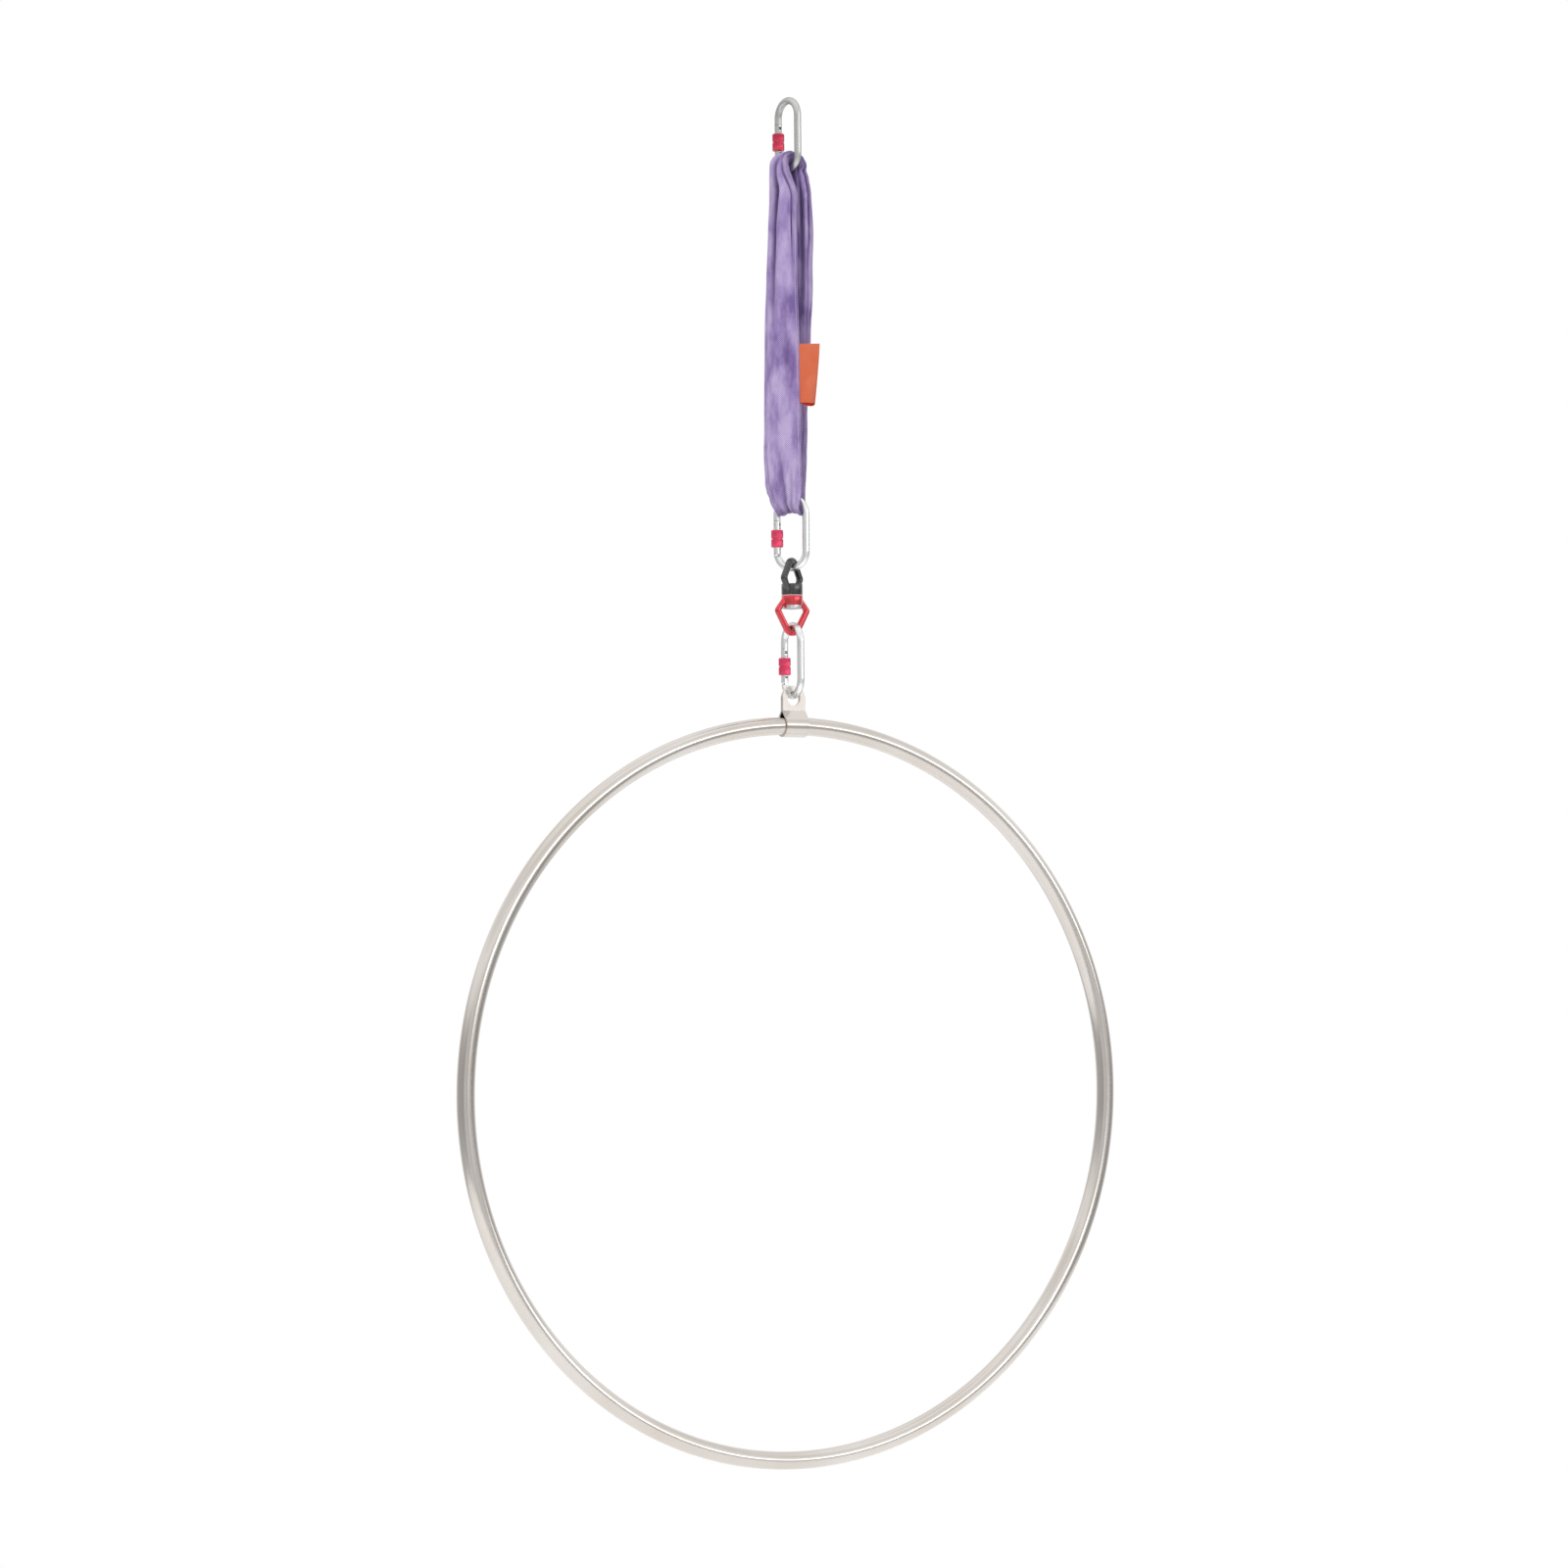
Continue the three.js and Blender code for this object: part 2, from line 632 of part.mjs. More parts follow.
/** The plate of a swivel eye, its crown bar centred on the origin and its neck above. */
function eyePlate(neck, barrelHeight) {
  const crownCentre = eyeBar / 2 + eyeCrownRadius;
  const vertexCentre = eyeHalfWidth - eyeVertexRadius;
  const vertexHeight = neck - eyeVertexDrop;
  const edgeRadius = Math.min(eyeEdgeRadius, edgeLimitShare * eyeThickness, edgeLimitShare * eyeBar);
  const shoulderRadius = edgeRadius + shoulderRound;
  const shoulderHeight = neck + Math.min(shoulderRise, barrelHeight - shoulderRound) - shoulderRadius;
  const shoulderCentre = swivelDiameter / 2 - shoulderRadius;
  const outline = [
    [0, crownCentre, eyeCrownRadius + eyeBar],
    [vertexCentre, vertexHeight, eyeVertexRadius],
    [shoulderCentre, shoulderHeight, shoulderRadius],
    [-shoulderCentre, shoulderHeight, shoulderRadius],
    [-vertexCentre, vertexHeight, eyeVertexRadius],
  ];
  const windowVertex = eyeHalfWidth - eyeBar - windowCornerRadius;
  const windowTop = windowTopWidth / 2 - windowCornerRadius;
  const window = [
    [0, crownCentre, eyeCrownRadius],
    [windowVertex, vertexHeight, windowCornerRadius],
    [windowTop, neck - windowCornerRadius, windowCornerRadius],
    [-windowTop, neck - windowCornerRadius, windowCornerRadius],
    [-windowVertex, vertexHeight, windowCornerRadius],
  ];
  return roundedPlate(outline, eyeThickness, edgeRadius, false)
    .subtract(roundedPlate(window, eyeThickness, edgeRadius, true));
}

/** A round barrel with chamfered rims. */
function barrel(low, high) {
  const radius = swivelDiameter / 2;
  return solidOf(turned([
    [0, low], [radius - barrelChamfer, low], [radius, low + barrelChamfer],
    [radius, high - barrelChamfer], [radius - barrelChamfer, high], [0, high],
  ]));
}

const seatGap = 0.2;
const raceTop = lowerBarrelTop - flangeThickness - seatGap;
const raceFoot = raceTop - bearingHeight;
const boltHeadTop = raceFoot - seatGap;
const pocketRadius = bearingOuterDiameter / 2 + runningGap;
const pitchRadius = bearingPitchDiameter / 2;
const ballRadius = ballDiameter / 2;

/** The black upper eye, with the blind hole that the bolt screws into. */
function upperEye() {
  const eye = eyePlate(upperNeck, upperBarrelHeight)
    .rotate([180, 0, 0])
    .translate([0, 0, upperCrownAxis]);
  const holeTop = upperBarrelBottom + boltReach + runningGap;
  const hole = rod(boltDiameter / 2 + runningGap, upperBarrelBottom - cutOverrun, holeTop);
  return eye
    .rotate([0, 0, middleAngle + 90])
    .add(barrel(upperBarrelBottom, upperBarrelTop))
    .subtract(solidOf(hole));
}

/** The red lower eye, with its bearing pocket open below and its flange above the bearing. */
function lowerEye() {
  const pocket = rod(pocketRadius, lowerBarrelBottom - cutOverrun, lowerBarrelTop - flangeThickness);
  const throatRadius = boltHeadDiameter / 2 + 2 * runningGap;
  const throat = rod(throatRadius, lowerBarrelBottom, lowerBarrelTop + cutOverrun);
  return eyePlate(lowerNeck, lowerBarrelHeight)
    .translate([0, 0, lowerCrownAxis])
    .add(barrel(lowerBarrelBottom, lowerBarrelTop))
    .subtract(solidOf(pocket))
    .subtract(solidOf(throat));
}

/** The bolt that carries the bearing on its head. */
function swivelBolt() {
  const shank = boltDiameter / 2;
  const head = boltHeadDiameter / 2;
  const tip = upperBarrelBottom + boltReach;
  return turned([
    [0, boltHeadTop - boltHeadHeight], [head, boltHeadTop - boltHeadHeight],
    [head, boltHeadTop], [shank, boltHeadTop], [shank, tip], [0, tip],
  ]);
}

/** The spacer ring that holds the bearing's inner race off the upper barrel. */
function swivelSpacer() {
  return ring(bearingBore / 2, boltHeadDiameter / 2, raceTop + seatGap, upperBarrelBottom - seatGap);
}

/** A bearing race with its ball groove. */
function race(inner, outer) {
  const middle = (raceTop + raceFoot) / 2;
  const groove = new THREE.TorusGeometry(pitchRadius, ballRadius + seatGap, grooveSegments, lathePoints)
    .translate(0, 0, middle);
  return solidOf(ring(inner, outer, raceFoot, raceTop)).subtract(solidOf(groove));
}

/** The centre of one ball of the bearing. */
function ballCentre(index) {
  const turn = (2 * Math.PI * index) / ballCount;
  const middle = (raceTop + raceFoot) / 2;
  return [pitchRadius * Math.cos(turn), pitchRadius * Math.sin(turn), middle];
}

/** A ball about the origin. */
function ball(radius) {
  return new THREE.SphereGeometry(radius, ballWidthSegments, ballHeightSegments);
}

/** The cage that spaces the balls. */
function ballCage() {
  const middle = (raceTop + raceFoot) / 2;
  let cage = solidOf(
    ring(
      pitchRadius - cageThickness / 2, pitchRadius + cageThickness / 2,
      middle - cageHeight / 2, middle + cageHeight / 2,
    ),
  );
  for (let index = 0; index < ballCount; index += 1) {
    const pocket = ball(ballRadius + runningGap).translate(...ballCentre(index));
    cage = cage.subtract(solidOf(pocket));
  }
  return cage;
}

/** The cap that closes the bearing pocket, with a rim that holds the outer race up. */
function swivelCap() {
  const top = lowerBarrelBottom - runningGap;
  const rimOuter = pocketRadius - runningGap;
  const rimInner = rimOuter - capRimWidth;
  const rimTop = raceFoot - runningGap;
  const outer = capDiameter / 2;
  const foot = top - capHeight;
  return turned([
    [0, foot], [outer - barrelChamfer, foot], [outer, foot + barrelChamfer], [outer, top],
    [rimOuter, top], [rimOuter, rimTop], [rimInner, rimTop], [rimInner, top], [0, top],
  ]);
}

/** The swivel's pieces. */
function swivel() {
  const group = new THREE.Group();
  const shoulder = raceShoulderGap / 2;
  const innerRace = race(bearingBore / 2, pitchRadius - shoulder);
  const outerRace = race(pitchRadius + shoulder, bearingOuterDiameter / 2);
  group.add(
    piece("swivel_upper_eye", upperEye(), finishes.black),
    piece("swivel_lower_eye", lowerEye(), finishes.red),
    piece("swivel_bolt", swivelBolt(), finishes.brightSteel),
    piece("swivel_spacer", swivelSpacer(), finishes.brightSteel),
    piece("swivel_inner_race", innerRace, finishes.brightSteel),
    piece("swivel_outer_race", outerRace, finishes.brightSteel),
    piece("swivel_ball_cage", ballCage(), finishes.brightSteel),
    piece("swivel_cap", swivelCap(), finishes.brightSteel),
  );
  for (let index = 0; index < ballCount; index += 1) {
    const bearingBall = piece("swivel_ball_" + (index + 1), ball(ballRadius), finishes.brightSteel);
    bearingBall.position.set(...ballCentre(index));
    group.add(bearingBall);
  }
  return group;
}

/** A circle of the ring's centreline, centred on the origin, over a turn each side of straight up. */
function hoopRoute(fromTurn, toTurn) {
  return new Route((t) => {
    const turn = fromTurn + t * (toTurn - fromTurn);
    return new THREE.Vector3(hoopRadius * Math.sin(turn), 0, hoopRadius * Math.cos(turn));
  });
}

const facetDepth = hoopRadius * (1 - Math.cos(Math.PI / hoopSteps));

/** The bent tube, open where its ends meet under the tab. */
function hoopTube() {
  const half = tubeJointGap / 2 / hoopRadius;
  const section = disc(tubeDiameter / 2, tubeDiameter / 2 - tubeWall);
  return swept(section, hoopRoute(half, 2 * Math.PI - half), hoopSteps);
}

/** The sleeve inside the tube that joins its two ends. */
function hoopFerrule() {
  const outer = tubeDiameter / 2 - tubeWall - runningGap - facetDepth;
  const half = ferruleLength / 2 / hoopRadius;
  return swept(disc(outer, outer - ferruleWall), hoopRoute(-half, half), ferruleSteps);
}

/** The strap that wraps the tube and ends in two drilled ears, in the tube's own axes. */
function hoopTab() {
  const drop = (tabWidth / 2) * Math.tan(Math.PI / hoopSteps);
  const inner = tubeDiameter / 2 + runningGap + drop / 2;
  const outer = inner + tabThickness;
  const seam = tabSeam / 2;
  const earTop = tabHoleRise + tabWidth / 2 + drop / 2;
  const meet = Math.hypot(seam, tabBendHeight);
  const turn = Math.atan2(tabBendHeight, seam) - Math.acos(inner / meet);
  const slope = (outer * Math.cos(turn) - seam - tabThickness) / Math.sin(turn);
  const outerBend = outer * Math.sin(turn) + slope * Math.cos(turn);
  const earOuter = seam + tabThickness;
  const band = new THREE.Shape();
  band.moveTo(earOuter, earTop);
  band.lineTo(seam, earTop);
  band.lineTo(seam, tabBendHeight);
  band.absarc(0, 0, inner, turn, Math.PI - turn, true);
  band.lineTo(-seam, tabBendHeight);
  band.lineTo(-seam, earTop);
  band.lineTo(-earOuter, earTop);
  band.lineTo(-earOuter, outerBend);
  band.absarc(0, 0, outer, Math.PI - turn, turn, false);
  band.lineTo(earOuter, outerBend);
  const strap = plate(band, tabWidth, wrapSegments).rotateZ(Math.PI / 2);
  const holeHeight = tabHoleRise + drop / 2;
  const face = belt([
    [tabWidth / 2 - cutOverrun, -outer - cutOverrun, cutOverrun],
    [0, holeHeight, tabWidth / 2],
    [-tabWidth / 2 + cutOverrun, -outer - cutOverrun, cutOverrun],
  ]);
  const hole = new THREE.Path();
  hole.absarc(0, holeHeight, tabHoleDiameter / 2, 0, 2 * Math.PI);
  face.holes.push(hole);
  return solidOf(strap)
    .intersect(solidOf(plate(face, 2 * outer + 2 * cutOverrun, wrapSegments)))
    .translate([0, 0, tubeAxis - drop / 2]);
}

/** The ring with its joint and tab. */
function hoop() {
  const group = new THREE.Group();
  const tube = piece("hoop_tube", hoopTube(), finishes.satinSteel);
  const ferrule = piece("hoop_joint_ferrule", hoopFerrule(), finishes.satinSteel);
  tube.position.z = hoopCentre;
  ferrule.position.z = hoopCentre;
  group.add(tube, ferrule, piece("hoop_tab", hoopTab(), finishes.satinSteel));
  return group;
}

/** The sling's pieces. */
function sling() {
  const group = new THREE.Group();
  group.add(
    piece("sling_cover", slingCover(), finishes.purple),
    piece("sling_core", slingCore(), finishes.yarn),
    piece("sling_cover_join", slingJoin(), finishes.purple),
    piece("sling_label", slingLabel(), finishes.orange),
  );
  return group;
}

const lyra = new THREE.Group();
lyra.add(
  carabiner("anchor", anchorApex, anchorAngle, finishes.crimson),
  sling(),
  carabiner("middle", middleApex, middleAngle, finishes.pink),
  swivel(),
  carabiner("lower", lowerApex, lowerAngle, finishes.pink),
  hoop(),
);

export default lyra;
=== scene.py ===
"""The looks of an aerial hoop on its rigging: satin steel ring, carabiners, swivel and round sling."""
import math

import bmesh
import bpy
import numpy as np
from mathutils import Matrix, Vector


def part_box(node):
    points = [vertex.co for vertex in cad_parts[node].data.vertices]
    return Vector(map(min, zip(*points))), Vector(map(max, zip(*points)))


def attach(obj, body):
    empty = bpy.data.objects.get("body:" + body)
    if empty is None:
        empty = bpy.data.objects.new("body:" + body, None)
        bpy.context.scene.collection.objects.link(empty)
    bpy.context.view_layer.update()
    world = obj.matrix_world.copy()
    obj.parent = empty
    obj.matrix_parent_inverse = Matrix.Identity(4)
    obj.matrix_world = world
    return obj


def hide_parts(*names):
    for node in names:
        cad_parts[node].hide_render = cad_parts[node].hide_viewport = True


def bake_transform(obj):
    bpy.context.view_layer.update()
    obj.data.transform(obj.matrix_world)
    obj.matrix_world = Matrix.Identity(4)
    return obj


MM = 0.001

# The ring and its tab, in metres as everything here.
TUBE_RADIUS = 12.5 * MM
HOOP_RADIUS = 512.5 * MM
HOOP_CENTRE = -1390 * MM
TUBE_AXIS = HOOP_CENTRE + HOOP_RADIUS
TUBE_JOINT_GAP = 0.6 * MM
TUBE_STATIONS = 721
TUBE_SIDES = 48
TAB_WIDTH = 36 * MM
TAB_THICKNESS = 3 * MM
TAB_SEAM = 0.6 * MM
TAB_BEND_HEIGHT = 20.5 * MM
TAB_HOLE_RISE = 38.5 * MM
TAB_HOLE_RADIUS = 10 * MM
TAB_FIT = 0.3 * MM
TAB_FOOT_ROUND = 1 * MM
TAB_BEND_ANGLE = 35
WRAP_POINTS = 64
TAB_CORNER_STEPS = 32
TAB_HOLE_SIDES = 64

# An overcut runs a cutter past the face that it opens. Softening rounds sharp edges, to catch the light.
OVERCUT = 1 * MM
BODY_SOFTENING = 0.35 * MM
FINE_SOFTENING = 0.3 * MM
BEVEL_ANGLE = 40

# The angles above which an edge stays crisp.
CRISP = math.radians(35)
EYE_CRISP = math.radians(40)
SLEEVE_CRISP = math.radians(50)
NEVER_CRISP = math.radians(180)

# The carabiners, measured down from the crown.
BAR_RADIUS = 5 * MM
ARC_RADIUS = 23 * MM
STRAIGHT = 52 * MM
QUARTER = ARC_RADIUS * math.pi / 2
NOSE_DEPTH = 36 * MM
LATCH_DEPTH = 41.1 * MM
HINGE_DEPTH = 82 * MM
PIN_RADIUS = 1.5 * MM
TONGUE_THICKNESS = 4 * MM
TONGUE_WIDTH = 8.4 * MM
TONGUE_DEPTH = 46 * MM
TANG_WIDTH = 8.5 * MM
TANG_RISE = 4 * MM
SLOT_WIDTH = 4.6 * MM
UPPER_SLOT_DEPTH = 47.3 * MM
LOWER_SLOT_RISE = 7 * MM
GATE_TOP_DEPTH = 36.55 * MM
GATE_BORE_RADIUS = 2.6 * MM
GATE_BORE_TOP = 52 * MM
SHOULDER_DEPTH = 87.3 * MM
SLEEVE_TOP = 49 * MM
SLEEVE_LENGTH = 24.3 * MM
SLEEVE_RADIUS = 8.5 * MM
SLEEVE_BORE = 5.45 * MM
CLEARANCE = 0.3 * MM
BAR_STATIONS = 151
BAR_SIDES = 32
GATE_SIDES = 40
GATE_DOME_POINTS = 8
ROD_SIDES = 24
SLEEVE_SIDES = 120
KNURLS = 30
KNURL_DEPTH = 0.45 * MM
PIN_SINK = 0.25 * MM
PIN_DOME = 0.35 * MM
PIN_FACE_SHARE = 0.8
PIN_SHOULDER_SHARE = 0.3

# The sleeve's section: share of its length, share of its wall cut away, and whether it is knurled there.
SLEEVE_SHARES = [
    (0.0, 1.0, 0), (0.0, 0.2, 0), (0.02, 0.06, 0), (0.05, 0.0, 0), (0.08, 0.0, 1), (0.44, 0.0, 1),
    (0.455, 0.05, 0), (0.47, 0.26, 0), (0.53, 0.26, 0), (0.545, 0.05, 0), (0.56, 0.0, 1), (0.92, 0.0, 1),
    (0.95, 0.0, 0), (0.98, 0.06, 0), (1.0, 0.2, 0), (1.0, 1.0, 0),
]

# Name, crown height and the bearing of the gate-to-spine line in degrees.
CARABINERS = {
    "anchor": (10 * MM, -83),
    "middle": (-552 * MM, -58),
    "lower": (-731.6 * MM, -90),
}

# The swivel.
EYE_BAR = 9 * MM
EYE_THICKNESS = 9.6 * MM
EYE_EDGE = 4 * MM
EYE_EDGE_POINTS = 7
EYE_CORNER_STEPS = 8
EYE_HALF_WIDTH = 27 * MM
EYE_CROWN_RADIUS = 5.7 * MM
EYE_VERTEX_RADIUS = 7 * MM
EYE_VERTEX_DROP = 7.5 * MM
WINDOW_CORNER = 2.5 * MM
WINDOW_TOP = 30 * MM
UPPER_NECK = 32.7 * MM
LOWER_NECK = 38.6 * MM
SWIVEL_RADIUS = 15 * MM
SHOULDER_RISE = 13.5 * MM
SHOULDER_ROUND = 1 * MM
UPPER_CROWN = -645 * MM
LOWER_CROWN = -746.6 * MM
UPPER_BARREL = (-692.9 * MM, -677.7 * MM)
LOWER_BARREL = (-708 * MM, -693.4 * MM)
BOLT_HOLE_RADIUS = 4.3 * MM
BOLT_HOLE_DEPTH = 11.8 * MM
BOLT_HOLE_SIDES = 32
POCKET_RADIUS = 11.3 * MM
POCKET_DEPTH = 11.6 * MM
THROAT_RADIUS = 6.8 * MM
POCKET_SIDES = 48
CAP_RADIUS = 13.5 * MM
CAP_RIM = 1.2 * MM
CAP_LEVELS = (-712.7 * MM, -708.3 * MM)
CAP_GROOVE_SHARE = 0.6
RIM = 0.9 * MM
RIM_SHARE = 0.3
BARE_SHARE = 1.2
BARREL_SIDES = 72
CAP_SIDES = 96
CAP_EDGE_POINTS = 6

# The round sling: a loop from the anchor carabiner to the middle one, its cover made in two halves.
SLING_TOP = -93 * MM
SLING_BOTTOM = -557 * MM
SLING_SPLIT = -325 * MM
BEARING_RADIUS = 5.4 * MM
BIGHT_WIDTH = 26 * MM
TOP_BIGHT = 19.2 * MM
BOTTOM_BIGHT = 16 * MM
BOTTOM_SPREAD = 3.6 * MM
TURNED_BY = 40 * MM
SECTION_POINTS = 72
STRAND_STEP = 3.6 * MM
BIGHT_STATIONS = 20
FRONT, BACK = -1, 1
BEND_REACH = 30 * MM
ARC_LIMIT = 15.5 * MM
SECTION_FULLNESS = 0.8
BLEND_LEAD = 8 * MM
BLEND_REACH = 80 * MM

# Height, half width, shift along the width, offset from the middle, and how far the strand swells out and in,
# all in millimetres.
FRONT_SHAPE = [
    (-93, 19, -1, 14.5, 9.6, 9.2), (-106, 20.5, -0.5, 14.6, 9.4, 11.4), (-130, 22, 0, 15, 9, 13.8),
    (-180, 23.2, -1.6, 16, 8.6, 15), (-254, 24.3, -3.6, 16.5, 8.6, 15.6), (-323, 26.5, -3.7, 16.5, 8.8, 15.6),
    (-448, 27.7, -3.9, 17, 8.8, 16), (-495, 28.7, -4.8, 17, 8.6, 16), (-535, 28.8, -4, 16, 8.6, 14.6),
    (-549, 27.5, -3, 14.6, 8.4, 10.4), (-557, 25, -1.8, 13.6, 8.2, 8.2),
]
BACK_SHAPE = [
    (-93, 17, 1, 14.8, 9.6, 9.2), (-106, 22, 1.4, 15, 9.4, 11.4), (-130, 25, 0.6, 16, 9, 14.4),
    (-180, 27, 0.5, 17, 8.8, 15.6), (-254, 27.6, 0, 17, 8.8, 15.8), (-323, 23.4, 0, 15.4, 8.6, 14.2),
    (-448, 18.4, -1, 14, 8.2, 13), (-495, 16.5, -1, 13.6, 8.2, 12.4), (-530, 15, 0, 13.5, 8.2, 11.6),
    (-549, 14, 0, 13.4, 8, 9), (-557, 14, 0, 13.4, 8, 8),
]

# Each crease: the strand, its path as height, turn round the section in degrees and depth, and its width in
# degrees. Heights and depths are in millimetres.
CREASES = [
    (FRONT, [(-66, 76, 6), (-93, 88, 9), (-110, 100, 10), (-143, 112, 10), (-184, 114, 8), (-253, 114, 5),
             (-330, 112, 0)], 12),
    (FRONT, [(-90, 34, 3), (-110, 34, 5), (-170, 28, 5), (-230, 24, 1)], 8),
    (FRONT, [(-240, 60, 0), (-290, 66, 1.6), (-350, 60, 2), (-430, 70, 0)], 10),
    (FRONT, [(-230, 152, 0), (-300, 148, 2.6), (-420, 150, 2.2), (-520, 142, 3), (-560, 130, 2)], 7),
    (FRONT, [(-470, 96, 0), (-510, 88, 1.6), (-545, 84, 3), (-575, 86, 3)], 8),
    (FRONT, [(-500, 50, 0), (-535, 54, 2.4), (-575, 60, 3)], 7),
    (BACK, [(-76, 20, 3), (-100, -8, 6), (-180, -14, 6), (-230, -22, 3), (-300, -16, 3), (-420, -10, 0)], 7),
    (BACK, [(-80, -52, 4), (-130, -46, 6), (-220, -48, 4), (-330, -56, 0)], 8),
    (BACK, [(-70, 60, 3), (-120, 70, 4), (-240, 84, 2), (-330, 96, 0)], 9),
    (BACK, [(-330, 60, 0), (-420, 70, 3), (-520, 84, 3), (-570, 86, 2)], 8),
    (BACK, [(-300, -30, 0), (-420, -24, 3), (-500, -16, 3.5), (-560, -20, 2)], 7),
]
CREASE_RUNOUT = 6
BANK_SHARE = 0.3
BANK_PLACE = 1.9
# The crease depth at which the painted shade in a crease is full.
CREASE_SHADE_FULL_DEPTH = 6 * MM
PLEATS = 9
PLEAT_DEPTH = 1.5 * MM
PLEAT_REACH = 46 * MM
PLEAT_SWING = 0.9
PLEAT_WAVE = 13 * MM

# How close the cover comes to a carabiner's bar, and the steps in which the bar is searched. LEAST and TINY
# keep divisions clear of nought.
BAR_GAP = 0.6 * MM
BAR_STEP = 1.5 * MM
BAR_MARGIN = 10 * MM
LEAST = 0.1 * MM
TINY = 0.01 * MM

# The cover's cloth: its size, its seam and stitches, and how it settles over the yarn.
COVER_GIRTH = 132 * MM
COVER_LENGTH = 950 * MM
SEAM_HEIGHT = 2.0 * MM
SEAM_WIDTH = 5
STITCH_COLUMNS = (70, 2)
STITCH_WIDTH = 0.9 * MM
STITCH_RISE = 0.15 * MM
STITCH_SHARES = ((0.1, 0.5), (0.25, 1), (0.65, 1), (0.8, 0.5))
JOIN_LEVELS = (-398 * MM, -358 * MM)
JOIN_THICKNESS = 1.1 * MM
UNEVENNESS = 0.12 * MM
RANDOM_SEED = 7
HOLD_LOOSE = 0.1
HOLD_STIFFNESS = 0.5
SLACK = 0.07
CLOTH_STEPS = 5
CLOTH_MASS = 0.3
TENSION = 40
SHEAR = 10
BENDING = 0.4
SETTLE_FRAMES = 14
PUCKER_MOST = 3.5 * MM
PUCKER_SHARES = (0.2, 1.6)

# The yarn, as shares of the cover's section.
YARN_WIDTH_SHARE = 0.56
YARN_SHIFT_SHARE = 0.38
YARN_OUT_SHARE = 0.4
YARN_IN_SHARE = 0.28

# The label: a strip folded double. It narrows, opens and curls from its top to its foot.
LABEL_LEVELS = (-425.5 * MM, -342.5 * MM)
LABEL_WIDTH = 30 * MM
LABEL_ANGLE = -45
LABEL_THICKNESS = 0.7 * MM
LABEL_STEPS = 40
LABEL_ROWS = 24
LABEL_GAP = (1.2 * MM, 4.8 * MM)
LABEL_CURL = (-2 * MM, 5 * MM)
LABEL_TAPER_SHARE = 0.34
LABEL_TAPER_POWER = 1.2
LABEL_BULGE_POWER = 0.35
LABEL_FRONT_SHARE = 0.04
LABEL_REAR_SHARE = 0.16
LABEL_SEAM_SHARE = 0.6

# Finishes.
PLATING_EDGE = (0.3, 0.3, 0.31, 1)
RIB_TURN = 24 * MM
RIB_PITCH = 2.6 * MM
THREAD_PITCH = 1.5 * MM

# The photograph's camera.
CAMERA_PLACE = (-3.521, -6.2515, -1.257)
CAMERA_YAW = 29.28
CAMERA_PITCH = 2.38
CAMERA_ROLL = -0.51
CAMERA_LENS = 117.6
CAMERA_REACH = 100
SENSOR = 36

# Each lamp: its place, size and power.
LAMPS = {
    "key": ((-4.2, -2.4, 1.5), (0.9, 1.6), 150),
    "fill": ((1.8, -4.4, -0.2), (1.4, 2.4), 40),
    "back": ((2.4, 2.6, 1.0), (0.9, 1.6), 70),
}
LAMP_TARGET = (0, 0, -0.9)

# What the metal mirrors: by bearing from the camera in degrees at eye level, and by sine of the height.
HORIZON_LEVELS = [
    (-180, 1.0), (-146, 1.0), (-126, 0.74), (-98, 0.5), (-60, 0.52), (-32, 0.44), (-12, 0.7), (0, 0.82),
    (12, 0.62), (24, 0.7), (36, 0.84), (52, 0.6), (76, 0.36), (92, 0.38), (114, 0.56), (132, 0.86),
    (150, 1.0), (180, 1.0),
]
HEIGHT_LEVELS = [
    (-1.0, 0.66), (-0.85, 0.66), (-0.6, 0.78), (-0.4, 0.74), (-0.26, 0.58), (-0.1, 0.72),
    (0.12, 0.8), (0.3, 1.05), (0.45, 1.15), (0.6, 0.98), (0.72, 0.95), (0.87, 1.2), (0.95, 1.2), (1.0, 1.0),
]
LEVEL_STEP = 1.2
HORIZON_REACH = (0.1, 0.42)
STRIP_BEARING = 58
STRIP_SPREAD = 34
STRIP_CORE_SHARE = 0.6
STRIP_HEIGHT = 0.175
STRIP_DEPTH = 0.12
STRIP_LEVEL = 2.6
AMBIENT_LEVEL = 0.5

FLOOR_LEVEL = -2.35
FLOOR_RADIUS = 3.0
FLOOR_SIDES = 96
FLOOR_TONE = 0.8
FLOOR_GLOW = 0.4


# Colours and shader nodes.
def linear(red, green, blue):
    """A colour given in screen values from 0 to 255, as the shader wants it."""
    def one(value):
        share = value / 255
        return share / 12.92 if share <= 0.04045 else ((share + 0.055) / 1.055) ** 2.4
    return (one(red), one(green), one(blue), 1)


def grey(level):
    """A plain grey."""
    return (level, level, level, 1)


def new_material(name, colour, metallic=0.0, roughness=0.5, **sockets):
    """A material with a Principled shader. Returns the material, its node tree and the shader."""
    material = bpy.data.materials.new(name)
    material.use_nodes = True
    tree = material.node_tree
    shader = tree.nodes["Principled BSDF"]
    shader.inputs["Base Color"].default_value = colour
    shader.inputs["Metallic"].default_value = metallic
    shader.inputs["Roughness"].default_value = roughness
    for key, value in sockets.items():
        shader.inputs[key.replace("_", " ")].default_value = value
    return material, tree, shader


def give(tree, socket, value):
    """Links another socket to this one, or sets its value."""
    if isinstance(value, bpy.types.NodeSocket):
        tree.links.new(value, socket)
    else:
        socket.default_value = value


def add_node(tree, kind, settings=None, **inputs):
    """A node of a kind, with its settings, and its inputs set or linked."""
    node = tree.nodes.new("ShaderNode" + kind)
    for key, value in (settings or {}).items():
        setattr(node, key, value)
    for key, value in inputs.items():
        name = key.replace("_", " ")
        give(tree, node.inputs[int(name)] if name.isdigit() else node.inputs[name], value)
    return node


